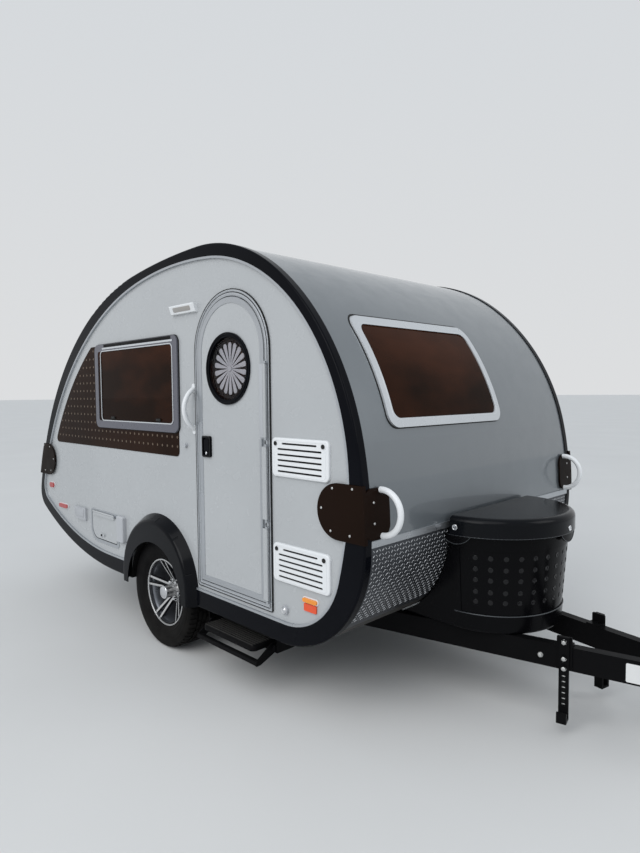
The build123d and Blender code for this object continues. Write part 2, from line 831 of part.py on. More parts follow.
def porthole_pane():
    """Round pane inside the ring."""
    outer_y = -HALF_WIDTH - DOOR_FRAME_PROUD
    radius = PORTHOLE_RADIUS - PORTHOLE_RING - PANE_GAP
    return rod_y(PORTHOLE_X, PORTHOLE_Z, radius, outer_y + PORTHOLE_PANE, outer_y)


def door_latch():
    """Latch plate with its paddle in a dished cup."""
    outer_y = -HALF_WIDTH - DOOR_FRAME_PROUD
    plate = Pos(LATCH_X, LATCH_Z) * rounded(LATCH_WIDTH, LATCH_HEIGHT, 12)
    cup = Pos(LATCH_X, LATCH_Z) * rounded(LATCH_WIDTH - 20, LATCH_HEIGHT - 24, 10)
    paddle = Pos(LATCH_X, LATCH_Z + 6) * rounded(LATCH_WIDTH - 34, LATCH_HEIGHT - 52, 8)
    latch = across(plate, outer_y, outer_y - LATCH_PROUD)
    latch -= across(cup, outer_y - 4, outer_y - LATCH_PROUD)
    return latch + across(paddle, outer_y - 2, outer_y - LATCH_PROUD + 2)


def side_window_frame():
    """Frame of the right side window."""
    flange = across(side_window_face(0), -HALF_WIDTH, -HALF_WIDTH - WINDOW_PROUD)
    sleeve = across(side_window_face(WINDOW_FRAME / 2), -INNER_Y, -HALF_WIDTH)
    inside = across(side_window_face(WINDOW_FRAME), 0, -2 * HALF_WIDTH)
    return flange + sleeve - inside


def side_window_pane():
    """Pane of the right side window."""
    outer_y = -HALF_WIDTH - WINDOW_PROUD + 3
    return across(side_window_face(WINDOW_FRAME + PANE_GAP), outer_y + WINDOW_PANE, outer_y)


def skin_panel():
    """Thin dark panel round the window that follows the rear curve of the body."""
    right = SIDE_WINDOW_X + SIDE_WINDOW_WIDTH / 2 - SKIN_BEHIND_FRAME
    high = SIDE_WINDOW_Z + SIDE_WINDOW_HEIGHT / 2 - SKIN_ABOVE
    low = SIDE_WINDOW_Z - SIDE_WINDOW_HEIGHT / 2 - SKIN_BELOW
    field = offset(PANEL_FACE, amount=-MOULDING_WIDTH - SKIN_TO_MOULDING)
    window = Pos((right - FAR) / 2, (high + low) / 2) * Rectangle(right + FAR, high - low)
    face = fillet((field & window).vertices(), SKIN_ROUND)
    panel = across(face, -HALF_WIDTH, -HALF_WIDTH - SKIN_PROUD)
    return panel - across(side_window_face(0), 0, -2 * HALF_WIDTH)


def wall_vents():
    """Louvred covers of the two appliance vents, one above the other."""
    vents = []
    for height in VENT_HEIGHTS:
        plate = Pos(VENT_X, height) * rounded(VENT_WIDTH, VENT_HEIGHT, VENT_ROUND)
        vent = across(plate, -HALF_WIDTH, -HALF_WIDTH - VENT_PROUD)
        front = vent.faces().sort_by(Axis.Y)[0]
        vent = fillet(front.edges(), VENT_EDGE)
        for index in range(VENT_SLOTS):
            z = height + (index - (VENT_SLOTS - 1) / 2) * VENT_SLOT_PITCH
            width = VENT_TOP_SLOT_WIDTH if index == VENT_SLOTS - 1 else VENT_SLOT_WIDTH
            slot = Pos(VENT_X, z) * SlotOverall(width, VENT_SLOT_HEIGHT)
            vent -= across(slot, -HALF_WIDTH - VENT_PROUD / 3, -HALF_WIDTH - VENT_PROUD)
        knob_z = height + (VENT_SLOTS - 1) / 2 * VENT_SLOT_PITCH
        for side in (-1, 1):
            x = VENT_X + side * (VENT_WIDTH / 2 - VENT_KNOB_IN)
            vent += rod_y(x, knob_z, VENT_KNOB_RADIUS, -HALF_WIDTH - VENT_PROUD / 2, -HALF_WIDTH - VENT_PROUD - 3)
        vents.append(vent)
    return Compound([solid for vent in vents for solid in vent.solids()])


def hatch_frame():
    """Frame of the storage hatch."""
    outer_y = -HALF_WIDTH - HATCH_PROUD
    flange = across(hatch_face(0), -HALF_WIDTH, outer_y)
    sleeve = across(hatch_face(HATCH_FRAME / 2), -INNER_Y, -HALF_WIDTH)
    recess = across(hatch_face(HATCH_FRAME), outer_y + HATCH_LEAF + DOOR_STOP_GAP, -2 * HALF_WIDTH)
    inside = across(hatch_face(HATCH_FRAME + DOOR_STOP), 0, -2 * HALF_WIDTH)
    return flange + sleeve - recess - inside


HATCH_PIVOT_Z = HATCH_Z + HATCH_HEIGHT / 2 - HATCH_FRAME + 6
HATCH_PIVOT_Y = -HALF_WIDTH - HATCH_PROUD - HATCH_SLEEVE - 1
HATCH_BAR = HATCH_WIDTH - 2 * HATCH_FRAME - 60


def hatch_rod():
    """Rod above the hatch on two ears of its frame."""
    half = HATCH_BAR / 2 + 14
    rod = along(Pos(HATCH_PIVOT_Y, HATCH_PIVOT_Z) * Circle(HATCH_ROD), HATCH_X - half, HATCH_X + half)
    for x in (HATCH_X - half, HATCH_X + half - 10):
        rod += block(x, x + 10, HATCH_PIVOT_Y - HATCH_SLEEVE, -HALF_WIDTH - HATCH_PROUD, HATCH_PIVOT_Z - 5, HATCH_PIVOT_Z + 6)
    return rod


def hatch_lid():
    """Lid of the storage hatch with its hinge sleeve along the top."""
    outer_y = -HALF_WIDTH - HATCH_PROUD
    lid = across(hatch_face(HATCH_FRAME + HATCH_GAP), outer_y + HATCH_LEAF, outer_y)
    x0, x1 = HATCH_X - HATCH_BAR / 2, HATCH_X + HATCH_BAR / 2
    leaf_top = HATCH_Z + HATCH_HEIGHT / 2 - HATCH_FRAME - HATCH_GAP
    lid += along(Pos(HATCH_PIVOT_Y, HATCH_PIVOT_Z) * Circle(HATCH_SLEEVE), x0, x1)
    lid += block(x0, x1, HATCH_PIVOT_Y - 2, outer_y, leaf_top - 14, leaf_top)
    lid += block(x0, x1, HATCH_PIVOT_Y - 2, HATCH_PIVOT_Y + 3, leaf_top - 14, HATCH_PIVOT_Z - 2)
    lock = rod_y(HATCH_X, HATCH_Z - HATCH_HEIGHT / 2 + 62, 12, outer_y, outer_y - 8)
    return lid + lock - along(Pos(HATCH_PIVOT_Y, HATCH_PIVOT_Z) * Circle(HATCH_ROD + SPINDLE_FIT), x0, x1)


def porch_lamp():
    """Long white lamp beside the door head, with its face leaning down."""
    half = PORCH_LAMP_HEIGHT / 2
    profile = make_face(Polyline(
        (-HALF_WIDTH, PORCH_LAMP_Z - half), (-HALF_WIDTH, PORCH_LAMP_Z + half),
        (-HALF_WIDTH - PORCH_LAMP_PROUD, PORCH_LAMP_Z + half),
        (-HALF_WIDTH - PORCH_LAMP_SLOPE, PORCH_LAMP_Z - half), close=True,
    ))
    start = PORCH_LAMP_X - PORCH_LAMP_LENGTH / 2
    lamp = along(profile, start, start + PORCH_LAMP_LENGTH)
    front = lamp.faces().sort_by(Axis.Y)[0]
    return fillet(front.edges(), PORCH_LAMP_SLOPE / 3)


def door_handle():
    """White grab handle beside the door: a bow on two feet."""
    middle = Vector(HANDLE_X, -HALF_WIDTH - HANDLE_REACH, (HANDLE_LOW + HANDLE_HIGH) / 2)
    path = ThreePointArc(Vector(HANDLE_X, -HALF_WIDTH, HANDLE_LOW), middle, Vector(HANDLE_X, -HALF_WIDTH, HANDLE_HIGH))
    bow = sweep(Plane(origin=path @ 0, z_dir=path % 0) * Circle(HANDLE_TUBE), path=path)
    feet = [
        across(Pos(HANDLE_X, z) * rounded(2 * HANDLE_FOOT, 3 * HANDLE_FOOT, HANDLE_FOOT - 2), -HALF_WIDTH, -HALF_WIDTH - 7)
        for z in (HANDLE_LOW, HANDLE_HIGH)
    ]
    handle = bow + feet[0] + feet[1]
    return handle - across(BODY_FACE, 0, -HALF_WIDTH)


def guard_end_x(ahead):
    """Where the guards' shapes end, clear of the body's front or rear."""
    return BODY_OUTLINE[1][0] + GUARD_END if ahead else BODY_OUTLINE[6][0] - GUARD_END


def guard_side_face(x_inner, ahead):
    """Side face of a corner guard: a plate with a round inner end."""
    end = guard_end_x(ahead)
    radius = GUARD_HEIGHT / 2
    centre = x_inner + radius if ahead else x_inner - radius
    plate = Pos((centre + end) / 2, GUARD_Z) * Rectangle(abs(end - centre), GUARD_HEIGHT)
    return plate + Pos(centre, GUARD_Z) * Circle(radius)


def corner_guard(ahead):
    """Guard that wraps the right front or rear corner at hand height, over the band."""
    x_inner = GUARD_FRONT_X if ahead else GUARD_REAR_X
    reach = BAND_LIP + GUARD_PROUD
    cover = offset(SKIN_FACE, amount=reach)
    outer_y = -HALF_WIDTH - BAND_PROUD - GUARD_PROUD
    side = across(guard_side_face(x_inner, ahead) & cover, -HALF_WIDTH, outer_y)
    pad_height = GUARD_HEIGHT - 2 * GUARD_PAD_INSET
    pad_face = Pos((outer_y - GUARD_PAD_Y) / 2, GUARD_Z) * rounded(-outer_y - GUARD_PAD_Y, pad_height, GUARD_PAD_ROUND)
    end = guard_end_x(ahead)
    start = BODY_OUTLINE[1][0] - GUARD_FRONT_START if ahead else BODY_OUTLINE[6][0] + GUARD_REAR_START
    wrap = across(cover, -GUARD_PAD_Y, outer_y) & along(pad_face, start, end)
    guard = side + wrap
    guard -= across(BODY_FACE, 0, -HALF_WIDTH - BAND_PROUD)
    moulding = PANEL_FACE - offset(PANEL_FACE, amount=-MOULDING_WIDTH)
    return guard - across(moulding, -HALF_WIDTH, -HALF_WIDTH - MOULDING_PROUD)


def corner_guards():
    """Four corner guards."""
    return both_sides(Compound([*corner_guard(True).solids(), *corner_guard(False).solids()]))


def skin_x(z, ahead):
    """x of the body's skin at a height, on the front or rear end."""
    probe = Edge.make_line(Vector(MIDDLE_X, z), Vector(FAR if ahead else -FAR, z))
    xs = [vertex.X for vertex in (SKIN_FACE & probe).vertices()]
    return max(xs) if ahead else min(xs)


def roof_z(x):
    """Height of the body's skin over an x."""
    probe = Edge.make_line(Vector(x, FLOOR_Z), Vector(x, FAR))
    return max(vertex.Y for vertex in (SKIN_FACE & probe).vertices())


def grab_loop(ahead):
    """White half-round loop on the pad of a corner guard."""
    side = 1 if ahead else -1
    high = Vector(skin_x(GUARD_Z + LOOP_RADIUS, ahead), -LOOP_Y, GUARD_Z + LOOP_RADIUS)
    low = Vector(skin_x(GUARD_Z - LOOP_RADIUS, ahead), -LOOP_Y, GUARD_Z - LOOP_RADIUS)
    middle = (high + low) / 2
    out = Vector(middle.X + side * (LOOP_RADIUS + 20), -LOOP_Y, GUARD_Z)
    path = ThreePointArc(high, out, low)
    loop = sweep(Plane(origin=path @ 0, z_dir=path % 0) * Circle(LOOP_TUBE), path=path)
    cover = offset(SKIN_FACE, amount=BAND_LIP + GUARD_PROUD)
    return loop - across(cover, 0, -HALF_WIDTH)


def grab_loops():
    """Four grab loops."""
    return both_sides(Compound([*grab_loop(True).solids(), *grab_loop(False).solids()]))


def tube_between(start, end, y_inner_side):
    """Hollow beam between two points of its outer face's foot line, in x and y."""
    x0, y0 = start
    x1, y1 = end
    length = hypot(x1 - x0, y1 - y0)
    angle = degrees(atan2(y1 - y0, x1 - x0))
    section = Rectangle(BEAM_WIDTH, BEAM_HEIGHT)
    section -= Rectangle(BEAM_WIDTH - 2 * BEAM_WALL, BEAM_HEIGHT - 2 * BEAM_WALL)
    beam = extrude(Plane.YZ * section, amount=length)
    shift = Pos(0, y_inner_side * BEAM_WIDTH / 2, BEAM_TOP - BEAM_HEIGHT / 2)
    return Pos(x0, y0, 0) * Rot(0, 0, angle) * shift * beam


def tongue_beam():
    """Right tongue beam from the coupler to the knee."""
    return tube_between((BEAM_KNEE_X, -BEAM_KNEE_Y), (BEAM_FRONT_X, -BEAM_FRONT_Y), 1)


def frame_rail():
    """Right rail under the floor from the knee to the rear."""
    return tube_between((RAIL_REAR_X, -BEAM_KNEE_Y), (BEAM_KNEE_X, -BEAM_KNEE_Y), 1)


def beam_y(x):
    """y of the left tongue beam's outer face at an x."""
    slope = (BEAM_KNEE_Y - BEAM_FRONT_Y) / (BEAM_FRONT_X - BEAM_KNEE_X)
    return BEAM_FRONT_Y + slope * (BEAM_FRONT_X - x)


BEAM_ANGLE = degrees(atan2(BEAM_KNEE_Y - BEAM_FRONT_Y, BEAM_FRONT_X - BEAM_KNEE_X))


def cross_members():
    """Cross members between the beams and rails."""
    members = []
    for x in CROSS_PLACES:
        reach = min(BEAM_KNEE_Y, beam_y(x + CROSS_WIDTH)) - 2
        low = BEAM_TOP - CROSS_HEIGHT
        bar = block(x, x + CROSS_WIDTH, -reach, reach, low, BEAM_TOP)
        bar -= block(
            x + CROSS_WALL, x + CROSS_WIDTH - CROSS_WALL, -reach, reach, low + CROSS_WALL, BEAM_TOP - CROSS_WALL
        )
        members += (bar - filled_beams()).solids()
    return Compound(members)


def filled_beams():
    """Outer volume of both beams and rails."""
    solids = []
    for start, end in (
        ((BEAM_KNEE_X, -BEAM_KNEE_Y), (BEAM_FRONT_X, -BEAM_FRONT_Y)),
        ((RAIL_REAR_X, -BEAM_KNEE_Y), (BEAM_KNEE_X, -BEAM_KNEE_Y)),
    ):
        x0, y0 = start
        x1, y1 = end
        length = hypot(x1 - x0, y1 - y0)
        angle = degrees(atan2(y1 - y0, x1 - x0))
        bar = extrude(Plane.YZ * Rectangle(BEAM_WIDTH, BEAM_HEIGHT), amount=length)
        shift = Pos(0, BEAM_WIDTH / 2, BEAM_TOP - BEAM_HEIGHT / 2)
        bar = Pos(x0, y0, 0) * Rot(0, 0, angle) * shift * bar
        solids += [bar, other_side(bar)]
    return Compound([solid for bar in solids for solid in bar.solids()])


def section(points):
    """Face of a turned section from radius and outward distance pairs, for the right side."""
    return make_face(Polyline(*[(r, -v) for r, v in points], close=True))


def tyre():
    """Tyre of the right wheel with bulged walls and round shoulders, open to the rim."""
    half = TYRE_WIDTH / 2
    bead = RIM_WIDTH / 2 - RIM_LIP
    crown = TYRE_CROWN / 2
    bulge_r = (TYRE_RADIUS + RIM_RADIUS) / 2

    def wall(sign):
        return [
            (RIM_BEAD + RUNNING_GAP, TYRE_Y + sign * bead),
            (RIM_RADIUS, TYRE_Y + sign * bead),
            (bulge_r, TYRE_Y + sign * half),
            (TYRE_RADIUS - TYRE_SHOULDER, TYRE_Y + sign * (half - TYRE_TUCK)),
            (TYRE_RADIUS, TYRE_Y + sign * crown),
        ]

    outer = wall(1)
    inner = wall(-1)
    edges = []
    for points in (outer, inner):
        foot, lip, bulge, shoulder, edge = [Vector(r, -v) for r, v in points]
        edges.append(Line(foot, lip))
        edges.append(ThreePointArc(lip, bulge, shoulder))
        edges.append(RadiusArc(shoulder, edge, TYRE_SHOULDER * (1 if points is outer else -1)))
    edges.append(Line(Vector(outer[0][0], -outer[0][1]), Vector(inner[0][0], -inner[0][1])))
    edges.append(Line(Vector(outer[-1][0], -outer[-1][1]), Vector(inner[-1][0], -inner[-1][1])))
    solid = revolve(make_face(edges), axis=Axis.Y)
    hollow_radius = TYRE_RADIUS - TYRE_TREAD
    cavity = section([
        (0, TYRE_Y + bead - TYRE_WALL),
        (RIM_RADIUS, TYRE_Y + bead - TYRE_WALL),
        (bulge_r, TYRE_Y + half - TYRE_WALL),
        (hollow_radius, TYRE_Y + crown),
        (hollow_radius, TYRE_Y - crown),
        (bulge_r, TYRE_Y - half + TYRE_WALL),
        (RIM_RADIUS, TYRE_Y - bead + TYRE_WALL),
        (0, TYRE_Y - bead + TYRE_WALL),
    ])
    solid -= revolve(cavity, axis=Axis.Y)
    return Pos(AXLE_X, 0, AXLE_Z) * solid


def spoke_pair(angle):
    """Two slim spokes that spread from the hub to the barrel, as flat bars about the wheel axis."""
    bars = []
    for side in (-1, 1):
        foot = side * (SPOKE_GAP_HUB + SPOKE_WIDTH) / 2
        tip = side * (SPOKE_GAP_RIM + SPOKE_WIDTH) / 2
        half = SPOKE_WIDTH / 2
        reach = RIM_BEAD - RIM_BARREL / 2
        corners = (
            (HUB_RADIUS - 12, foot - half), (reach, tip - half), (reach, tip + half), (HUB_RADIUS - 12, foot + half),
        )
        bars.append(make_face(Polyline(*corners, close=True)))
    pair = bars[0] + bars[1]
    return extrude(Plane.XZ.offset(RIM_PLANE - RIM_WIDTH) * (Rot(0, 0, angle) * pair), amount=RIM_WIDTH)


def dish():
    """Turned space that the spokes fill: drawn in at the hub, out at the rim."""
    top = RIM_PLANE - SPOKE_INSET
    return revolve(
        section([
            (0, top - SPOKE_DISH), (HUB_RADIUS, top - SPOKE_DISH), (RIM_BEAD, top),
            (RIM_BEAD, top - SPOKE_DEPTH_RIM), (HUB_RADIUS, top - SPOKE_DISH - SPOKE_DEPTH_HUB),
            (0, top - SPOKE_DISH - SPOKE_DEPTH_HUB),
        ]),
        axis=Axis.Y,
    )


def rim():
    """Alloy wheel of the right side: barrel, lips, split spokes, hub, cap and brake drum."""
    low = RIM_PLANE - RIM_WIDTH
    barrel = revolve(
        section([
            (RIM_BEAD - RIM_BARREL, low + 2), (RIM_RADIUS - 3, low), (RIM_RADIUS, low + 3),
            (RIM_RADIUS, low + RIM_LIP), (RIM_BEAD, low + RIM_LIP),
            (RIM_BEAD, RIM_PLANE - RIM_LIP), (RIM_RADIUS, RIM_PLANE - RIM_LIP),
            (RIM_RADIUS, RIM_PLANE - 3), (RIM_RADIUS - 3, RIM_PLANE), (RIM_BEAD - RIM_BARREL + 4, RIM_PLANE - 4),
            (RIM_BEAD - RIM_BARREL, RIM_PLANE - 12),
        ]),
        axis=Axis.Y,
    )
    spokes = Compound([s for i in range(SPOKE_PAIRS) for s in spoke_pair(SPOKE_START + i * 360 / SPOKE_PAIRS).solids()])
    spider = dish() & (spokes + hub_disc())
    top = RIM_PLANE - SPOKE_INSET - SPOKE_DISH
    for index in range(SPOKE_PAIRS):
        angle = radians(SPOKE_START + (index + 0.5) * 360 / SPOKE_PAIRS)
        hole = Pos(LUG_CIRCLE / 2 * cos(angle), LUG_CIRCLE / 2 * sin(angle)) * Circle(LUG_HOLE)
        spider -= extrude(Plane.XZ.offset(top - LUG_DEPTH) * hole, amount=LUG_DEPTH + 1)
    cap = revolve(
        section([
            (0, top - 6), (CAP_RADIUS, top - 6), (CAP_RADIUS, top + CAP_LENGTH - 10),
            (CAP_RADIUS - 3, top + CAP_LENGTH - 3), (CAP_RADIUS - 10, top + CAP_LENGTH), (0, top + CAP_LENGTH),
        ]),
        axis=Axis.Y,
    )
    drum_top = top - SPOKE_DEPTH_HUB
    drum = revolve(
        section([
            (0, drum_top + 2), (DRUM_RADIUS - 6, drum_top + 2), (DRUM_RADIUS, drum_top - 4),
            (DRUM_RADIUS, drum_top - DRUM_LENGTH), (0, drum_top - DRUM_LENGTH),
        ]),
        axis=Axis.Y,
    )
    bore = Pos(0, -(drum_top - DRUM_LENGTH)) * Rot(90, 0, 0) * Cylinder(
        SPINDLE_RADIUS + SPINDLE_FIT, DRUM_LENGTH + SPINDLE_REACH, align=(Align.CENTER, Align.CENTER, Align.MIN)
    )
    wheel = barrel + spider + cap + drum - bore
    return Pos(AXLE_X, 0, AXLE_Z) * wheel


def hub_disc():
    """Disc of the wheel's hub."""
    return extrude(Plane.XZ.offset(RIM_PLANE - RIM_WIDTH) * Circle(HUB_RADIUS), amount=RIM_WIDTH)


DRUM_INNER_Y = RIM_PLANE - SPOKE_INSET - SPOKE_DISH - SPOKE_DEPTH_HUB - DRUM_LENGTH
ARM_OUTER_Y = TYRE_Y - TYRE_WIDTH / 2 - ARM_CLEARANCE
TUBE_X = AXLE_X + AXLE_LEAD


def torsion_axle():
    """Square axle tube with a trailing arm, spindle and backing plate at each end."""
    half_tube = AXLE_TUBE / 2
    tube_end = ARM_OUTER_Y - ARM_THICK
    tube = block(TUBE_X - half_tube, TUBE_X + half_tube, -tube_end, tube_end, AXLE_TUBE_Z - half_tube, AXLE_TUBE_Z + half_tube)
    half_arm = ARM_HEIGHT / 2
    lean = degrees(atan2(AXLE_Z - AXLE_TUBE_Z, -AXLE_LEAD))
    span = hypot(AXLE_Z - AXLE_TUBE_Z, AXLE_LEAD)
    arm_face = Pos(TUBE_X, AXLE_TUBE_Z) * Rot(0, 0, lean) * Pos(span / 2, 0) * SlotCenterToCenter(span, ARM_HEIGHT)
    arm = across(arm_face, -tube_end, -ARM_OUTER_Y)
    spindle = rod_y(AXLE_X, AXLE_Z, SPINDLE_RADIUS, -tube_end, -DRUM_INNER_Y - DRUM_LENGTH - SPINDLE_REACH + 5)
    plate = rod_y(AXLE_X, AXLE_Z, DRUM_RADIUS, -DRUM_INNER_Y + 6, -DRUM_INNER_Y + 10)
    end = arm + spindle + plate
    saddles = Compound([
        block(TUBE_X - half_tube - 6, TUBE_X + half_tube + 6, side * BEAM_KNEE_Y, side * (BEAM_KNEE_Y - BEAM_WIDTH),
              AXLE_TUBE_Z + half_tube, RAIL_BOTTOM) for side in (-1, 1)
    ])
    return tube + end + other_side(end) + saddles


RAIL_BOTTOM = BEAM_TOP - BEAM_HEIGHT


COUPLER_REAR_X = JACK_X + JACK_PLATE / 2


def coupler():
    """Coupler that sits on the joined beams and houses the towing ball."""
    y_rear = beam_y(COUPLER_REAR_X)
    neck_x = BEAM_FRONT_X + COUPLER_NOSE - 20
    plan = make_face(Polyline(
        (COUPLER_REAR_X, -y_rear), (BEAM_FRONT_X, -BEAM_FRONT_Y), (neck_x, -COUPLER_NECK), (BALL_X, -COUPLER_NECK),
        (BALL_X, COUPLER_NECK), (neck_x, COUPLER_NECK), (BEAM_FRONT_X, BEAM_FRONT_Y), (COUPLER_REAR_X, y_rear), close=True,
    ))
    plate = upward(plan, BEAM_TOP, BEAM_TOP + COUPLER_PLATE)
    nose_plan = make_face(Polyline(
        (BEAM_FRONT_X, -BEAM_FRONT_Y + 4), (neck_x, -COUPLER_NECK), (BALL_X, -COUPLER_NECK),
        (BALL_X, COUPLER_NECK), (neck_x, COUPLER_NECK), (BEAM_FRONT_X, BEAM_FRONT_Y - 4), close=True,
    )) + Pos(BALL_X, 0) * Circle(COUPLER_NOSE)
    nose = upward(nose_plan, COUPLER_LOW, BEAM_TOP + COUPLER_PLATE)
    socket = upward(Pos(BALL_X, 0) * Circle(BALL_BORE), COUPLER_LOW, COUPLER_LOW + BALL_DEPTH)
    socket += Pos(BALL_X, 0, COUPLER_LOW + BALL_DEPTH) * Sphere(BALL_BORE)
    top = BEAM_TOP + COUPLER_PLATE
    lever_face = Pos(BALL_X - LEVER_SETBACK, top + LEVER_HEIGHT / 2) * rounded(LEVER_LENGTH, LEVER_HEIGHT, 8)
    lever_face += Pos(BALL_X - LEVER_TAIL_SETBACK, top + LEVER_HEIGHT + 2) * Rot(0, 0, 24) * rounded(LEVER_TAIL, 14, 6)
    lever = across(lever_face, LEVER_THICK / 2, -LEVER_THICK / 2)
    return plate + nose + lever - socket


JACK_Y = beam_y(JACK_X) + JACK_OFFSET
JACK_HUB_FACE = JACK_Y - JACK_TUBE - JACK_HUB_LENGTH


def along_beam(solid):
    """Turn a piece of the jack, drawn square to the axes, until it lies along the left beam."""
    return Pos(JACK_X, JACK_Y, 0) * Rot(0, 0, -BEAM_ANGLE) * Pos(-JACK_X, -JACK_Y, 0) * solid


def jack_mount():
    """Plate block on the left beam with the pin that the jack swivels on."""
    half, high = JACK_PLATE / 2, JACK_PLATE_HEIGHT / 2
    face = JACK_HUB_FACE - JACK_SIDE_GAP
    plate = block(
        JACK_X - half, JACK_X + half, JACK_Y - JACK_OFFSET - BEAM_WIDTH / 2, face, JACK_PIVOT_Z - high, JACK_PIVOT_Z + high
    )
    pin = rod_y(JACK_X, JACK_PIVOT_Z, JACK_PIN, face, JACK_HUB_FACE + JACK_HUB_LENGTH - 4)
    return along_beam(plate + pin) - filled_beams()


def jack_tube():
    """Swivelling outer tube of the side jack with its hub, cap and crank."""
    tube = upward(Pos(JACK_X, JACK_Y) * Circle(JACK_TUBE), JACK_LOW, JACK_HIGH)
    hub = rod_y(JACK_X, JACK_PIVOT_Z, JACK_HUB, JACK_HUB_FACE, JACK_Y)
    collars = [
        upward(Pos(JACK_X, JACK_Y) * Circle(JACK_TUBE + 5), z, z + 16) for z in (JACK_LOW, JACK_HIGH - 40)
    ]
    cap = upward(Pos(JACK_X, JACK_Y) * Circle(JACK_TUBE + 3), JACK_HIGH, JACK_HIGH + 14)
    jack = tube + hub + collars[0] + collars[1] + cap
    jack -= upward(Pos(JACK_X, JACK_Y) * Circle(JACK_TUBE - JACK_TUBE_WALL), JACK_LOW, JACK_HIGH)
    jack -= rod_y(JACK_X, JACK_PIVOT_Z, JACK_PIN + SPINDLE_FIT, JACK_HUB_FACE, JACK_HUB_FACE + JACK_HUB_LENGTH)
    shaft_z = JACK_HIGH - 14
    crank_y = JACK_Y + JACK_TUBE + CRANK_OUT + 4
    shaft = rod_y(JACK_X, shaft_z, 9, JACK_Y + JACK_TUBE - 2, crank_y)
    arm_face = Pos(JACK_X, shaft_z - CRANK_ARM / 2) * Rot(0, 0, 90) * SlotCenterToCenter(CRANK_ARM, 20)
    arm = across(arm_face, crank_y, crank_y - 8)
    grip_y = JACK_Y + JACK_TUBE + CRANK_OUT
    grip = rod_y(JACK_X, shaft_z - CRANK_ARM, CRANK_GRIP_RADIUS, grip_y, grip_y + CRANK_GRIP)
    return along_beam(jack + shaft + arm + grip)


JACK_LEG_TOP = JACK_HIGH - JACK_TRAVEL - JACK_TOP_GAP


def jack_leg():
    """Sliding inner tube of the jack on its round foot."""
    radius = JACK_TUBE - JACK_TUBE_WALL - JACK_FIT
    leg = upward(Pos(JACK_X, JACK_Y) * Circle(radius), 0, JACK_LEG_TOP)
    leg -= upward(Pos(JACK_X, JACK_Y) * Circle(radius - JACK_LEG_WALL), JACK_FOOT_THICK, JACK_LEG_TOP)
    foot = upward(Pos(JACK_X, JACK_Y) * Circle(JACK_FOOT), 0, JACK_FOOT_THICK)
    return leg + fillet(foot.faces().sort_by(Axis.Z)[-1].edges(), 3)


def on_beam(solid, x):
    """Place a piece drawn with x along the right beam and y out of its outer face at an x."""
    return Pos(x, -beam_y(x), 0) * Rot(0, 0, BEAM_ANGLE) * mirror(solid, about=Plane.XZ)


def spring_bar_bracket():
    """Clamp on the tongue beam that carries a slotted upright with a foot."""
    plate = block(-34, 34, 0, 8, RAIL_BOTTOM + 8, BRACKET_HIGH)
    plate = fillet(plate.edges().filter_by(Axis.Y), 6)
    half = BRACKET_WIDTH / 2
    bar = block(-half, half, 8, 8 + BRACKET_BAR, BRACKET_LOW, BRACKET_HIGH)
    foot = block(-half, half, 8, 8 + BRACKET_BAR + BRACKET_FOOT, BRACKET_LOW, BRACKET_LOW + BRACKET_BAR)
    lip = block(-half, half, 8 + BRACKET_FOOT, 8 + BRACKET_FOOT + BRACKET_BAR, BRACKET_LOW, BRACKET_LOW + 48)
    bracket = plate + bar + foot + lip
    slot_low, slot_high = BRACKET_LOW + 60, RAIL_BOTTOM - 10
    slot = Pos(0, (slot_low + slot_high) / 2) * Rot(0, 0, 90) * SlotOverall(slot_high - slot_low, 15)
    bracket -= across(slot, -100, 100)
    for z in BRACKET_BOLTS:
        bracket += across(Pos(0, z) * RegularPolygon(13, 6), 8 + BRACKET_BAR + 9, 8)
    hook = block(-34, 34, -BEAM_WIDTH, 0, BEAM_TOP, BEAM_TOP + 8)
    return on_beam(bracket + hook, BRACKET_X)


def stabiliser_bracket():
    """Pair of cheeks under the right rail with the pin of the stabiliser leg."""
    y = -STABILISER_Y
    reach = STABILISER_TUBE / 2 + STABILISER_SIDE_GAP
    x0, x1 = STABILISER_X - 26, STABILISER_X + 26
    cheeks = [
        block(x0, x1, y + side * reach, y + side * (reach + 5), STABILISER_PIVOT_Z - 22, RAIL_BOTTOM)
        for side in (-1, 1)
    ]
    pin = rod_y(STABILISER_X, STABILISER_PIVOT_Z, STABILISER_PIN, y + reach + 2, y - reach - 2)
    return cheeks[0] + cheeks[1] + pin


def stabiliser_leg():
    """Folded stabiliser leg with its foot pad."""
    y = -STABILISER_Y
    half = STABILISER_TUBE / 2
    leg = block(STABILISER_X, STABILISER_X + STABILISER_LENGTH, y - half, y + half, STABILISER_PIVOT_Z - half, STABILISER_PIVOT_Z + half)
    leg += rod_y(STABILISER_X, STABILISER_PIVOT_Z, half, y + half, y - half)
    leg = leg - block(
        STABILISER_X + 40, STABILISER_X + STABILISER_LENGTH, y - half + 4, y + half - 4,
        STABILISER_PIVOT_Z - half + 4, STABILISER_PIVOT_Z + half - 4,
    )
    end = STABILISER_X + STABILISER_LENGTH
    pad = block(end, end + 6, y - 45, y + 45, STABILISER_PIVOT_Z - half, STABILISER_PIVOT_Z + half)
    return leg + pad - rod_y(STABILISER_X, STABILISER_PIVOT_Z, STABILISER_PIN + SPINDLE_FIT, y + half, y - half)


def step_rails():
    """Pair of hangers below the door that the step slides in."""
    hangers = []
    for side in (-1, 1):
        x = STEP_X + side * (STEP_WIDTH / 2 + STEP_RAIL_GAP)
        wall = block(x, x + side * 5, STEP_RAIL_OUT_Y, STEP_RAIL_IN_Y, STEP_LOW - 6, FLOOR_Z)
        ledge = block(x, x - side * (STEP_RAIL_GAP + 12), STEP_RAIL_OUT_Y, STEP_RAIL_IN_Y, STEP_LOW - 6, STEP_LOW - STEP_SEAT)
        hangers.append(wall + ledge)
    return hangers


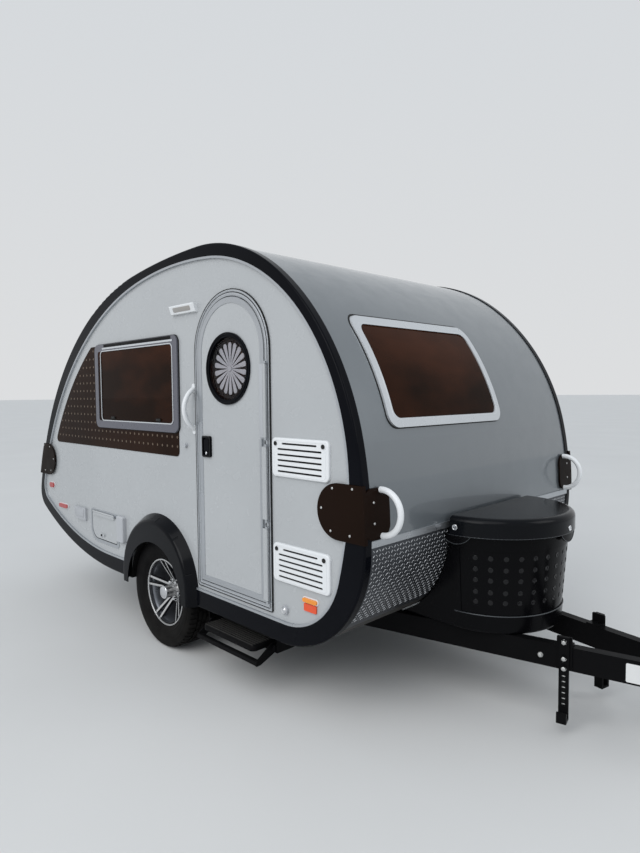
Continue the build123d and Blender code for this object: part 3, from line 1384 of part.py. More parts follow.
def step_tray():
    """Step that slides out: a round-nosed tread over a low bar on two slanted plates."""
    x0, x1 = STEP_X - STEP_WIDTH / 2, STEP_X + STEP_WIDTH / 2
    slide_end = STEP_OUT_Y + STEP_DEPTH / 2
    rail_top = STEP_LOW + 30
    step = block(x0, x1, STEP_INNER_Y, STEP_INNER_Y + STEP_RAIL, STEP_LOW, rail_top)
    for x in (x0, x1 - STEP_RAIL):
        step += block(x, x + STEP_RAIL, STEP_INNER_Y, slide_end, STEP_LOW, rail_top)
    step += block(x0, x1, slide_end - STEP_BAR, slide_end, STEP_LOW, STEP_TOP - STEP_THICK + 4)
    tread = block(
        STEP_X - STEP_TREAD / 2, STEP_X + STEP_TREAD / 2, STEP_OUT_Y, STEP_OUT_Y + STEP_DEPTH, STEP_TOP - STEP_THICK, STEP_TOP
    )
    front = tread.edges().filter_by(Axis.Z).group_by(Axis.Y)[-1]
    tread = fillet(front, 2 * STEP_NOSE)
    tread = fillet(tread.faces().sort_by(Axis.Z)[-1].edges().filter_by(lambda e: (e @ 0.5).Y > STEP_OUT_Y + 1), STEP_NOSE)
    step += tread
    plate = make_face(Polyline(
        (slide_end - 60, STEP_TOP), (slide_end, STEP_TOP), (STEP_BAR_Y + STEP_BAR, STEP_BAR_Z + STEP_BAR),
        (STEP_BAR_Y + STEP_BAR, STEP_BAR_Z), (STEP_BAR_Y, STEP_BAR_Z), (slide_end - 60, STEP_LOW), close=True,
    ))
    for x in (x0 + STEP_CHEEK, x1 - STEP_CHEEK - STEP_PLATE):
        step += along(plate, x, x + STEP_PLATE)
    bar = block(x0 + STEP_CHEEK, x1 - STEP_CHEEK, STEP_BAR_Y, STEP_BAR_Y + STEP_BAR, STEP_BAR_Z, STEP_BAR_Z + STEP_BAR)
    return step + fillet(bar.edges().filter_by(Axis.X), 5)


def tub_plan(radius):
    """U-shaped plan of the tub with straight sides back to the body."""
    straight = Pos(TUB_X - TUB_BACK / 2, 0) * Rectangle(TUB_BACK, 2 * radius)
    return straight + Pos(TUB_X, 0) * Circle(radius)


def tub_cone(inset, low, high):
    """Tapered tub volume between two heights, drawn in from its outside."""
    slope = (TUB_RADIUS - TUB_BOTTOM_RADIUS) / (TUB_RIM - TUB_BOTTOM)
    faces = []
    for z in (low, high):
        radius = TUB_BOTTOM_RADIUS + slope * (z - TUB_BOTTOM) - inset
        faces.append((Plane.XY.offset(z) * tub_plan(radius)).face())
    return loft(faces, ruled=True)


def body_block(gap):
    """Prism of the body grown by a gap, to cut what stands ahead of it."""
    return across(offset(SKIN_FACE, amount=gap), HALF_WIDTH, -HALF_WIDTH)


def tub_body():
    """Black storage tub with a sunk panel round its front and finger cups."""
    outer = tub_cone(0, TUB_BOTTOM, TUB_RIM)
    outer = fillet(outer.faces().sort_by(Axis.Z)[0].edges(), TUB_FOOT_ROUND) - body_block(TUB_BACK_GAP)
    inner = tub_cone(TUB_WALL, TUB_BOTTOM + TUB_WALL, TUB_RIM) - body_block(TUB_BACK_GAP + TUB_WALL)
    tub = outer - inner
    panel = tub_cone(-20, TUB_PANEL_LOW, TUB_PANEL_HIGH) - tub_cone(TUB_PANEL_DEPTH, TUB_PANEL_LOW - 1, TUB_PANEL_HIGH + 1)
    reach = 2 * TUB_RADIUS
    wedge = make_face(Polyline(
        (TUB_X, 0),
        (TUB_X + reach * cos(radians(TUB_PANEL_HALF_ANGLE)), -reach * sin(radians(TUB_PANEL_HALF_ANGLE))),
        (TUB_X + reach, -reach), (TUB_X + reach, reach),
        (TUB_X + reach * cos(radians(TUB_PANEL_HALF_ANGLE)), reach * sin(radians(TUB_PANEL_HALF_ANGLE))),
        close=True,
    ))
    return tub - (panel & upward(wedge, 0, TUB_LID_TOP))


def tub_lid():
    """Lid of the tub with a deep skirt, open at the back, on two lugs."""
    back = body_block(TUB_LID_BACK_GAP)
    outer = upward(tub_plan(TUB_LID_RADIUS), TUB_LID_BOTTOM, TUB_LID_TOP)
    top_edges = outer.faces().sort_by(Axis.Z)[-1].edges()
    outer = fillet(top_edges, TUB_LID_ROUND)
    inner = upward(tub_plan(TUB_LID_RADIUS - TUB_LID_WALL), TUB_LID_BOTTOM, TUB_LID_TOP - TUB_LID_WALL)
    inner_edges = inner.faces().sort_by(Axis.Z)[-1].edges()
    inner = fillet(inner_edges, TUB_LID_ROUND - TUB_LID_WALL)
    lid = (outer - inner) - back
    for y in TUB_LUGS:
        lug = block(TUB_PIVOT_X - 4, TUB_PIVOT_X + 22, y - 22, y + 22, TUB_PIVOT_Z - 4, TUB_LID_TOP - TUB_LID_WALL + 1)
        lug += rod_y(TUB_PIVOT_X, TUB_PIVOT_Z, HINGE_SLEEVE, y + 22, y - 22)
        lid += lug
    for y in TUB_LUGS:
        lid -= rod_y(TUB_PIVOT_X, TUB_PIVOT_Z, HINGE_ROD + SPINDLE_FIT, y + 30, y - 30)
    return lid


def tub_hinge_rod():
    """Rod on posts at the back of the tub that the lid turns on."""
    reach = TUB_LUGS[-1] + 60
    rod = rod_y(TUB_PIVOT_X, TUB_PIVOT_Z, HINGE_ROD, reach, -reach)
    for y in (-reach + 6, 0, reach - 6):
        rod += block(TUB_PIVOT_X - 9, TUB_PIVOT_X + 3, y - 6, y + 6, TUB_RIM - 40, TUB_PIVOT_Z)
    return rod


def tub_load():
    """Battery and gas bottle as plain blocks inside the tub."""
    battery = block(*BATTERY)
    bottle = upward(Pos(*BOTTLE_PLACE) * Circle(BOTTLE_RADIUS), TUB_BOTTOM + TUB_WALL, BOTTLE_TOP)
    bottle = fillet(bottle.edges().filter_by(GeomType.CIRCLE), 40)
    return Compound([*battery.solids(), *bottle.solids()])


ROOF_VENT_BASE_TOP = roof_z(ROOF_VENT_X) + ROOF_VENT_RISE
ROOF_VENT_PIVOT_Z = ROOF_VENT_BASE_TOP + ROOF_VENT_PIVOT


def roof_vent_frame():
    """Frame of the roof vent: a flange on the roof and a collar through it."""
    half = ROOF_VENT_SIZE / 2
    flange = shell_layer(0, ROOF_VENT_WALL, INNER_Y) & roof_vent_prism(0)
    collar = roof_vent_prism(ROOF_VENT_LAP) & block(-FAR, FAR, -half, half, 0, ROOF_VENT_BASE_TOP)
    collar -= across(LINING_FACE, INNER_Y, -INNER_Y)
    frame = flange + collar - roof_vent_prism(ROOF_VENT_LAP + ROOF_VENT_WALL)
    rod_x = ROOF_VENT_X - half + 8
    rod = rod_y(rod_x, ROOF_VENT_PIVOT_Z, HINGE_ROD, 90, -90)
    posts = [
        block(rod_x - 6, rod_x + 20, y - 6, y + 6, ROOF_VENT_BASE_TOP - 30, ROOF_VENT_PIVOT_Z + HINGE_ROD)
        for y in (-84, 84)
    ]
    return frame + rod + posts[0] + posts[1]


def roof_vent_lid():
    """Domed lid of the roof vent."""
    half = ROOF_VENT_SIZE / 2
    low = ROOF_VENT_BASE_TOP + 6
    x0 = ROOF_VENT_X - half + 36
    dome = block(x0, ROOF_VENT_X + half, -half, half, low, low + ROOF_VENT_LID)
    dome = fillet(dome.edges().filter_by(Axis.Z), 40)
    dome = fillet(dome.faces().sort_by(Axis.Z)[-1].edges(), 24)
    hollow = block(x0 + 6, ROOF_VENT_X + half - 6, -half + 6, half - 6, low, low + ROOF_VENT_LID - 8)
    hollow = fillet(hollow.edges().filter_by(Axis.Z), 34)
    hollow = fillet(hollow.faces().sort_by(Axis.Z)[-1].edges(), 20)
    lid = dome - hollow
    rod_x = ROOF_VENT_X - half + 8
    lug = block(rod_x, x0 + 8, -40, 40, low + 2, low + 10)
    lug += rod_y(rod_x, ROOF_VENT_PIVOT_Z, HINGE_SLEEVE, 40, -40)
    return lid + lug - rod_y(rod_x, ROOF_VENT_PIVOT_Z, HINGE_ROD + SPINDLE_FIT, 60, -60)


def red_lamps():
    """Tail lamps on the curved rear and red side markers."""
    lamps = []
    layer = shell_layer(0, TAIL_LAMP_PROUD, INNER_Y)
    for side in (-1, 1):
        prism = along(Pos(side * TAIL_LAMP_Y, TAIL_LAMP_Z) * Circle(TAIL_LAMP_RADIUS), REAR_X, MIDDLE_X)
        lamps += (layer & prism).solids()
    for x, z, length, height in RED_MARKERS:
        face = Pos(x, z) * SlotOverall(length, height)
        marker = across(face, -HALF_WIDTH, -HALF_WIDTH - MARKER_PROUD)
        lamps += both_sides(marker).solids()
    return Compound(lamps)


def amber_lamps():
    """Amber side lamps with reflectors at the front."""
    lamp_face = Pos(AMBER_X, AMBER_Z) * SlotOverall(AMBER_LENGTH, AMBER_HEIGHT)
    lamp = across(lamp_face, -HALF_WIDTH, -HALF_WIDTH - MARKER_PROUD)
    plate = Pos(AMBER_X, AMBER_Z - REFLECTOR_DROP) * rounded(REFLECTOR_WIDTH, REFLECTOR_HEIGHT, 5)
    reflector = across(plate, -HALF_WIDTH, -HALF_WIDTH - REFLECTOR_PROUD)
    return both_sides(Compound([*lamp.solids(), *reflector.solids()]))


def service_fittings():
    """Outlet cover, inlet box and small round fittings of the right wall, and the plate holder."""
    cover = across(Pos(OUTLET_X, OUTLET_Z) * outlet_face(), -HALF_WIDTH, -HALF_WIDTH - 16)
    strip = across(Pos(INLET_X, INLET_Z) * rounded(INLET_WIDTH, INLET_HEIGHT, 14), -HALF_WIDTH, -HALF_WIDTH - 30)
    strip = fillet(strip.faces().sort_by(Axis.Y)[0].edges(), 10)
    dots = [
        rod_y(x, z, radius, -HALF_WIDTH, -HALF_WIDTH - proud) for x, z, radius, proud in ROUND_FITTINGS
    ]
    plate_face = Pos(0, PLATE_Z) * rounded(PLATE_WIDTH, PLATE_HEIGHT, 12)
    holder = shell_layer(0, PLATE_THICK, INNER_Y) & along(plate_face, REAR_X, MIDDLE_X)
    for side in (-1, 1):
        hole = Pos(side * PLATE_HOLE_PITCH / 2, PLATE_Z + PLATE_HEIGHT / 2 - 20) * Circle(PLATE_HOLE)
        holder -= along(hole, REAR_X, MIDDLE_X)
    return Compound([s for piece in (cover, strip, *dots, holder) for s in piece.solids()])


def outlet_face():
    """Outlet cover face with one cut corner."""
    half_w, half_h, cut = OUTLET_WIDTH / 2, OUTLET_HEIGHT / 2, OUTLET_CUT
    return make_face(Polyline(
        (-half_w + cut, -half_h), (half_w, -half_h), (half_w, half_h), (-half_w, half_h), (-half_w, -half_h + cut), close=True,
    ))


def cabin_space(gap):
    """Space inside the lining and side walls, drawn in by a gap."""
    return across(offset(LINING_FACE, amount=-gap), -INNER_Y + gap, INNER_Y - gap)


def cabin_cabinets():
    """Galley cabinet at the front and the bed and bench bases, each board a solid that butts on the next."""
    cabin = cabin_space(BOARD_GAP)
    low = FLOOR_Z + FLOOR_THICK
    galley_top = GALLEY_TOP - COUNTER_THICK
    bed_bottom = BED_TOP - BOARD
    bench_back = BED_FRONT_X - BOARD
    boards = [
        block(GALLEY_BACK_X, GALLEY_BACK_X + BOARD, -INNER_Y, GALLEY_LEFT_Y, low, galley_top),
        block(GALLEY_BACK_X + BOARD, FAR, GALLEY_LEFT_Y - BOARD, GALLEY_LEFT_Y, low, galley_top),
        block(BED_REAR_X, BED_FRONT_X, -INNER_Y, INNER_Y, bed_bottom, BED_TOP),
        block(bench_back, BED_FRONT_X, -BENCH_Y, BENCH_Y, low, bed_bottom),
    ]
    for side in (-1, 1):
        outer = side * INNER_Y
        aisle = side * BENCH_Y
        board_back = side * (BENCH_Y + BOARD)
        boards += [
            block(BED_FRONT_X, BENCH_FRONT_X, aisle, outer, bed_bottom, BED_TOP),
            block(bench_back, BENCH_FRONT_X, aisle, board_back, low, bed_bottom),
            block(BENCH_FRONT_X - BOARD, BENCH_FRONT_X, board_back, outer, low, bed_bottom),
        ]
    well_back = AXLE_X - ARCH_RADIUS - WELL_GAP
    well_front = AXLE_X + ARCH_RADIUS + WELL_GAP
    well_top = AXLE_Z + ARCH_RADIUS + WELL_GAP
    wells = Compound([
        block(well_back, well_front, side * (ARCH_INNER_Y - WELL_GAP), side * HALF_WIDTH, 0, well_top)
        for side in (-1, 1)
    ])
    pieces = []
    for board in boards:
        pieces += ((board & cabin) - wells).solids()
    return Compound(pieces)


def galley_counter():
    """Counter over the galley with the sink cut out."""
    counter = block(GALLEY_BACK_X - 15, FAR, -INNER_Y, GALLEY_LEFT_Y, GALLEY_TOP - COUNTER_THICK, GALLEY_TOP)
    counter &= cabin_space(BOARD_GAP)
    return counter - block(
        SINK_X - SINK_DEPTH / 2, SINK_X + SINK_DEPTH / 2, SINK_Y - SINK_WIDTH / 2, SINK_Y + SINK_WIDTH / 2, 0, FAR
    )


def sink_and_faucet():
    """Pressed sink bowl and the bent faucet beside it."""
    gap = RUNNING_GAP
    x0, x1 = SINK_X - SINK_DEPTH / 2 + gap, SINK_X + SINK_DEPTH / 2 - gap
    y0, y1 = SINK_Y - SINK_WIDTH / 2 + gap, SINK_Y + SINK_WIDTH / 2 - gap
    rim, wall = SINK_FLANGE, SINK_WALL
    flange_top = GALLEY_TOP + SINK_FLANGE_THICK
    bowl = block(x0, x1, y0, y1, GALLEY_TOP - SINK_BOWL, GALLEY_TOP)
    bowl = fillet(bowl.edges().filter_by(Axis.Z), SINK_ROUND)
    flange = block(x0 - rim, x1 + rim, y0 - rim, y1 + rim, GALLEY_TOP, flange_top)
    inner = block(x0 + wall, x1 - wall, y0 + wall, y1 - wall, GALLEY_TOP - SINK_BOWL + wall, flange_top)
    inner = fillet(inner.edges().filter_by(Axis.Z), SINK_ROUND - wall)
    bowl = bowl + flange - inner
    x = SINK_X + SINK_DEPTH / 2 + FAUCET_BACK
    top = GALLEY_TOP + FAUCET_HEIGHT
    corners = ((x, SINK_Y, GALLEY_TOP), (x, SINK_Y, top), (x - FAUCET_REACH, SINK_Y, top))
    path = FilletPolyline(*corners, (x - FAUCET_REACH, SINK_Y, top - FAUCET_DROP), radius=FAUCET_BEND)
    spout = sweep(Plane(origin=path @ 0, z_dir=path % 0) * Circle(FAUCET_TUBE), path=path)
    collar = upward(Pos(x, SINK_Y) * Circle(FAUCET_COLLAR), GALLEY_TOP, GALLEY_TOP + FAUCET_COLLAR_HEIGHT)
    lever_top = GALLEY_TOP + FAUCET_COLLAR_HEIGHT - 4
    lever = block(x - 6, x + 6, SINK_Y - FAUCET_LEVER, SINK_Y, lever_top - 10, lever_top)
    return Compound([*bowl.solids(), *(spout + collar + lever).solids()])


def cabin_modules():
    """Refrigerator block behind the wall vents and the washroom box in the front left corner."""
    cabin = cabin_space(BOARD_GAP)
    fridge = block(*FRIDGE)
    low = FLOOR_Z + FLOOR_THICK
    outer = block(BATH_WALL_X, FAR, GALLEY_LEFT_Y + BOARD_GAP, INNER_Y, low, FAR) & cabin
    inner = block(BATH_WALL_X + BOARD, FAR, GALLEY_LEFT_Y + BOARD_GAP + BOARD, INNER_Y, low, FAR)
    return Compound([*fridge.solids(), *(outer - inner).solids()])


def mattress():
    """Bed and bench cushions with round edges."""
    low = BED_TOP
    high = BED_TOP + CUSHION_THICK
    gap = CUSHION_GAP
    cabin = cabin_space(gap)
    pieces = []
    for x0, x1, y0, y1 in (
        (BED_REAR_X, BED_FRONT_X - gap, -INNER_Y, -gap / 2),
        (BED_REAR_X, BED_FRONT_X - gap, gap / 2, INNER_Y),
        (BED_FRONT_X, BENCH_FRONT_X, -INNER_Y, -BENCH_Y - gap),
        (BED_FRONT_X, BENCH_FRONT_X, BENCH_Y + gap, INNER_Y),
    ):
        slab = block(x0, x1, y0, y1, low, high) & cabin
        top = slab.faces().sort_by(Axis.Z)[-1].edges()
        pieces += fillet(top, 24).solids()
    return Compound(pieces)


def wheel_pair_parts():
    """Tyre and rim of both wheels."""
    right_tyre, right_rim = tyre(), rim()
    return {
        "tyre_right": right_tyre,
        "tyre_left": other_side(right_tyre),
        "rim_right": right_rim,
        "rim_left": other_side(right_rim),
    }


def chassis_brackets():
    """Spring bar brackets, stabiliser brackets, step hangers and the jack mount."""
    hangers = [other_side(hanger) for hanger in step_rails()]
    pieces = [both_sides(spring_bar_bracket()), both_sides(stabiliser_bracket()), jack_mount(), *hangers]
    return Compound([solid for piece in pieces for solid in piece.solids()])


def build_parts():
    """Every node's solid by name."""
    parts = {
        "chassis_frame": Compound([*both_sides(tongue_beam() + frame_rail()).solids(), *cross_members().solids()]),
        "torsion_axle": torsion_axle(),
        "coupler": coupler(),
        "chassis_brackets": chassis_brackets(),
        "floor_pan": floor_pan() + wheel_wells(),
        "body_shell": body_shell(),
        "front_checker_plate": front_checker_plate(),
        "side_wall_right": side_wall(),
        "side_wall_left": left_wall(),
        "edge_bands": both_sides(edge_band()),
        "trim_strips": Compound([*both_sides(panel_moulding()).solids(), *front_trim().solids()]),
        "fenders": both_sides(fender()),
        "opening_frames": Compound([*(door_frame() + hinge_plates()).solids(), *(hatch_frame() + hatch_rod()).solids()]),
        "window_frames": Compound([
            *both_sides(side_window_frame()).solids(),
            *end_window_frame(FRONT_WINDOW).solids(),
            *end_window_frame(REAR_WINDOW).solids(),
        ]),
        "window_panes": Compound([
            *both_sides(side_window_pane()).solids(),
            *end_window_pane(FRONT_WINDOW).solids(),
            *end_window_pane(REAR_WINDOW).solids(),
        ]),
        "skin_panels": both_sides(skin_panel()),
        "vents_and_porch_lamp": Compound([*wall_vents().solids(), *porch_lamp().solids()]),
        "corner_guards": corner_guards(),
        "grab_handles": Compound([*grab_loops().solids(), *door_handle().solids()]),
        "service_fittings": service_fittings(),
        "red_lamps": red_lamps(),
        "amber_lamps": amber_lamps(),
        "roof_vent_frame": roof_vent_frame(),
        "roof_vent_lid": roof_vent_lid(),
        "tub_body": tub_body() + tub_hinge_rod(),
        "tub_lid": tub_lid(),
        "tub_load": tub_load(),
        "cabin_cabinets": cabin_cabinets(),
        "galley_counter": galley_counter(),
        "sink_and_faucet": sink_and_faucet(),
        "cabin_modules": cabin_modules(),
        "mattress": mattress(),
        "door_leaf": door_leaf(),
        "door_edge_trim": door_edge_trim(),
        "door_fittings": Compound([*porthole_ring().solids(), *door_latch().solids()]),
        "porthole_pane": porthole_pane(),
        "hatch_lid": hatch_lid(),
        "jack_tube": jack_tube(),
        "jack_leg": jack_leg(),
        "step_tray": other_side(step_tray()),
        "stabiliser_right": stabiliser_leg(),
        "stabiliser_left": other_side(stabiliser_leg()),
    }
    parts.update(wheel_pair_parts())
    return parts


os.makedirs("parts", exist_ok=True)
for name, solid in build_parts().items():
    export_step(solid, f"parts/{name}.step")
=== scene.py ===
"""Looks of a teardrop trailer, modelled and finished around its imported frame.

Metres throughout: +X forward to the coupler, +Y to the left, +Z up, the ground at zero.
"""
import json
import logging
import math
from collections.abc import Callable, Iterable
from dataclasses import dataclass, field, replace
from enum import Enum

import bmesh
import bpy
from mathutils import Matrix, Vector

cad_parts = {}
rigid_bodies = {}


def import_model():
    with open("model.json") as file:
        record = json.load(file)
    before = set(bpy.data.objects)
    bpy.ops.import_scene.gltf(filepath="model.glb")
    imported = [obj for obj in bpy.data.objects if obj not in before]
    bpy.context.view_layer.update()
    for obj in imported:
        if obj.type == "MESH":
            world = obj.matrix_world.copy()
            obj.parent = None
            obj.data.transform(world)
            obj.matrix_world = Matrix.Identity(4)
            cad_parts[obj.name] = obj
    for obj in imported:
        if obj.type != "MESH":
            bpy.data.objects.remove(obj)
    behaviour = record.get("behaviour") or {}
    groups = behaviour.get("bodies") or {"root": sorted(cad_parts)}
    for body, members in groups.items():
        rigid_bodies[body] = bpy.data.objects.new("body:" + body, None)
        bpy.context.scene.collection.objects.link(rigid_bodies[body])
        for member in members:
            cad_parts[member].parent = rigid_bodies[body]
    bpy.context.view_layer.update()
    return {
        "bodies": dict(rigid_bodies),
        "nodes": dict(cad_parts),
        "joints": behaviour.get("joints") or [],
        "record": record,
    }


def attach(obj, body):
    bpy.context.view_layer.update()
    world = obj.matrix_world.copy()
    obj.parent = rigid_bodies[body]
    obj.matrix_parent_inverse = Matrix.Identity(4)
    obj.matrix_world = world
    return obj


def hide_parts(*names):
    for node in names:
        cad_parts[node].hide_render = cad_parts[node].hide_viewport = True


LOG = logging.getLogger("trailer")
Colour = tuple[float, float, float]
Point = tuple[float, float, float]


class Side(Enum):
    """The two long sides of the trailer, by the sign of y."""

    RIGHT = -1
    LEFT = 1


class Axis(Enum):
    """Turn that lays a primitive's own axis along one of the trailer's."""

    X = (0.0, math.pi / 2, 0.0)
    Y = (math.pi / 2, 0.0, 0.0)
    Z = (0.0, 0.0, 0.0)


class Graph:
    """Node graph of one material, with short calls for the nodes it needs."""

    def __init__(self, name: str) -> None:
        """Start a material that holds only a shader and its output.

        Args:
            name: the material's name.
        """
        self.material = bpy.data.materials.new(name)
        self.material.use_nodes = True
        self.tree = self.material.node_tree
        self.shader = self.tree.nodes["Principled BSDF"]
        self.coordinates = self.tree.nodes.new("ShaderNodeTexCoord").outputs["Object"]

    def set(self, **values: object) -> None:
        """Set constants on the shader's own sockets, with underscores for spaces.

        Args:
            values: socket name and constant.
        """
        for key, value in values.items():
            socket = self.shader.inputs[key.replace("_", " ")]
            socket.default_value = (*value, 1.0) if isinstance(value, tuple) and len(value) == 3 else value

    def mapped(self, scale: Point, turn: Point = (0, 0, 0)) -> bpy.types.NodeSocket:
        """Object coordinates through a mapping.

        Args:
            scale: scale along each axis.
            turn: rotation in radians.

        Returns:
            The mapped vector.
        """
        node = self.tree.nodes.new("ShaderNodeMapping")
        node.inputs["Scale"].default_value = scale
        node.inputs["Rotation"].default_value = turn
        self.tree.links.new(self.coordinates, node.inputs["Vector"])
        return node.outputs["Vector"]

    def axis(self, name: str) -> bpy.types.NodeSocket:
        """One of the object coordinates, in metres.

        Args:
            name: X, Y or Z.

        Returns:
            The coordinate.
        """
        node = self.tree.nodes.new("ShaderNodeSeparateXYZ")
        self.tree.links.new(self.coordinates, node.inputs["Vector"])
        return node.outputs[name]

    def noise(self, scale: float, detail: float = 3.0, stretch: Point = (1, 1, 1)) -> bpy.types.NodeSocket:
        """Fractal noise over the object.

        Args:
            scale: noise scale, per metre.
            detail: octaves.
            stretch: scale of the coordinates along each axis.

        Returns:
            The noise factor.
        """
        node = self.tree.nodes.new("ShaderNodeTexNoise")
        node.inputs["Scale"].default_value = scale
        node.inputs["Detail"].default_value = detail
        self.tree.links.new(self.mapped(stretch), node.inputs["Vector"])
        return node.outputs["Fac"]

    def ramp(self, factor: bpy.types.NodeSocket, low: float, high: float,
             first: Colour, last: Colour) -> bpy.types.NodeSocket:
        """Colour ramp between two stops.

        Args:
            factor: value that the ramp reads.
            low: place of the first stop.
            high: place of the last stop.
            first: colour at the first stop.
            last: colour at the last stop.

        Returns:
            The ramp's colour.
        """
        node = self.tree.nodes.new("ShaderNodeValToRGB")
        stops = node.color_ramp.elements
        stops[0].position, stops[1].position = low, high
        stops[0].color, stops[1].color = (*first, 1.0), (*last, 1.0)
        self.tree.links.new(factor, node.inputs["Fac"])
        return node.outputs["Color"]

    def spread(self, factor: bpy.types.NodeSocket, low: float, high: float,
               start: float = 0.3, end: float = 0.7) -> bpy.types.NodeSocket:
        """Map a factor onto a range.

        Args:
            factor: value to map.
            low: result at the start.
            high: result at the end.
            start: factor that gives the low result.
            end: factor that gives the high result.

        Returns:
            The mapped value.
        """
        node = self.tree.nodes.new("ShaderNodeMapRange")
        for key, value in (("From Min", start), ("From Max", end), ("To Min", low), ("To Max", high)):
            node.inputs[key].default_value = value
        self.tree.links.new(factor, node.inputs["Value"])
        return node.outputs["Result"]

    def math(self, operation: str, first: object, second: object = 0.0) -> bpy.types.NodeSocket:
        """Math node of two values or sockets.

        Args:
            operation: the node's operation.
            first: first input.
            second: second input.

        Returns:
            The result.
        """
        node = self.tree.nodes.new("ShaderNodeMath")
        node.operation = operation
        for socket, value in zip(node.inputs, (first, second)):
            if isinstance(value, (int, float)):
                socket.default_value = value
            else:
                self.tree.links.new(value, socket)
        return node.outputs["Value"]

    def mix(self, factor: bpy.types.NodeSocket, first: object, second: object) -> bpy.types.NodeSocket:
        """Mix two colours or colour sockets.

        Args:
            factor: share of the second.
            first: colour or socket at zero.
            second: colour or socket at one.

        Returns:
            The mixed colour.
        """
        node = self.tree.nodes.new("ShaderNodeMix")
        node.data_type = "RGBA"
        self.tree.links.new(factor, node.inputs[0])
        for socket, value in ((node.inputs[6], first), (node.inputs[7], second)):
            if isinstance(value, tuple):
                socket.default_value = (*value, 1.0)
            else:
                self.tree.links.new(value, socket)
        return node.outputs[2]

    def bump(self, height: bpy.types.NodeSocket, strength: float, distance: float) -> None:
        """Chain a bump on the shader's normal.

        Args:
            height: height factor.
            strength: strength of the bump.
            distance: height in metres of a factor of one.
        """
        node = self.tree.nodes.new("ShaderNodeBump")
        node.inputs["Strength"].default_value = strength
        node.inputs["Distance"].default_value = distance
        self.tree.links.new(height, node.inputs["Height"])
        normal = self.shader.inputs["Normal"]
        if normal.is_linked:
            self.tree.links.new(normal.links[0].from_socket, node.inputs["Normal"])
        self.tree.links.new(node.outputs["Normal"], normal)

    def link(self, value: bpy.types.NodeSocket, name: str) -> None:
        """Link a value to one of the shader's sockets.

        Args:
            value: what to link.
            name: the shader's socket.
        """
        self.tree.links.new(value, self.shader.inputs[name])


@dataclass(frozen=True)
class Finish:
    """A moulded, painted or metal surface with faint mottling, a fine grain and road dust low down."""

    name: str
    colour: Colour
    roughness: float = 0.4
    metallic: float = 0.0
    coat: float = 0.0
    specular: float = 0.5
    mottle: float = 0.06
    grain: float = 0.0
    grain_scale: float = 400.0
    dust: float = 0.0

    def build(self) -> bpy.types.Material:
        """Make the material.

        Returns:
            The finished material.
        """
        graph = Graph(self.name)
        graph.set(Metallic=self.metallic, Specular_IOR_Level=self.specular,
                  Coat_Weight=self.coat, Coat_Roughness=0.05)
        cloud = graph.noise(1.7, 5.0)
        darker = tuple(c * (1 - self.mottle) for c in self.colour)
        lighter = tuple(min(1.0, c * (1 + self.mottle)) for c in self.colour)
        colour = graph.ramp(cloud, 0.35, 0.65, darker, lighter)
        if self.dust:
            colour = self.dusted(graph, colour)
        graph.link(colour, "Base Color")
        fine = graph.noise(9.0, 4.0)
        graph.link(graph.spread(fine, self.roughness * 0.85, self.roughness * 1.2), "Roughness")
        if self.grain:
            graph.bump(graph.noise(self.grain_scale, 2.0), self.grain, 0.001)
        self.extend(graph)
        return graph.material

    def dusted(self, graph: Graph, colour: bpy.types.NodeSocket) -> bpy.types.NodeSocket:
        """Mix pale road dust into a colour near the ground.

        Args:
            graph: the material's graph.
            colour: the clean colour.

        Returns:
            The mixed colour.
        """
        low = graph.spread(graph.axis("Z"), 1.0, 0.0, 0.0, 0.9)
        patchy = graph.math("MULTIPLY", low, graph.noise(14.0, 6.0))
        return graph.mix(graph.math("MULTIPLY", patchy, self.dust), colour, (0.3, 0.27, 0.23))

    def extend(self, graph: Graph) -> None:
        """Hook for what a finish adds to the common graph.

        Args:
            graph: the material's graph.
        """


@dataclass(frozen=True)
class Pane(Finish):
    """Thin tinted glazing that lets part of the light through."""

    cover: float = 0.7
    murk: Colour = (0.05, 0.016, 0.007)

    def extend(self, graph: Graph) -> None:
        """Let part of the light through, cloud the tint and ripple the surface a little.

        Args:
            graph: the material's graph.
        """
        graph.set(Alpha=self.cover)
        cloud = graph.noise(1.4, 3.0, (1.0, 1.0, 2.2))
        graph.link(graph.ramp(cloud, 0.4, 0.7, self.colour, self.murk), "Base Color")
        graph.bump(graph.noise(2.0, 1.0), 0.1, 0.002)


@dataclass(frozen=True)
class TwoTone(Finish):
    """Moulded lens whose lamp, above a height, is lighter than its reflector."""

    split_z: float = 0.592
    upper: Colour = (0.85, 0.28, 0.02)

    def extend(self, graph: Graph) -> None:
        """Tell lamp and reflector apart by height.

        Args:
            graph: the material's graph.
        """
        above = graph.math("GREATER_THAN", graph.axis("Z"), self.split_z)
        graph.link(graph.mix(above, self.colour, self.upper), "Base Color")


@dataclass(frozen=True)
class WindowMoulding(Finish):
    """Grey frame on the side walls, silver on the front and the rear."""

    wall_y: float = 0.985
    ends: Colour = (0.56, 0.58, 0.6)

    def extend(self, graph: Graph) -> None:
        """Tell the side frames from the others by how far out they lie.

        Args:
            graph: the material's graph.
        """
        side = graph.spread(graph.math("ABSOLUTE", graph.axis("Y")), 0.0, 1.0, self.wall_y, self.wall_y + 0.002)
        graph.link(graph.mix(side, self.ends, self.colour), "Base Color")


@dataclass(frozen=True)
class Flake(Finish):
    """Metallic gelcoat with fine flake under a clear coat."""

    def extend(self, graph: Graph) -> None:
        """Scatter the flake over the colour.

        Args:
            graph: the material's graph.
        """
        flake = graph.noise(2600.0, 1.0)
        dark = tuple(c * 0.86 for c in self.colour)
        light = tuple(c * 1.16 for c in self.colour)
        graph.link(graph.ramp(flake, 0.38, 0.62, dark, light), "Base Color")


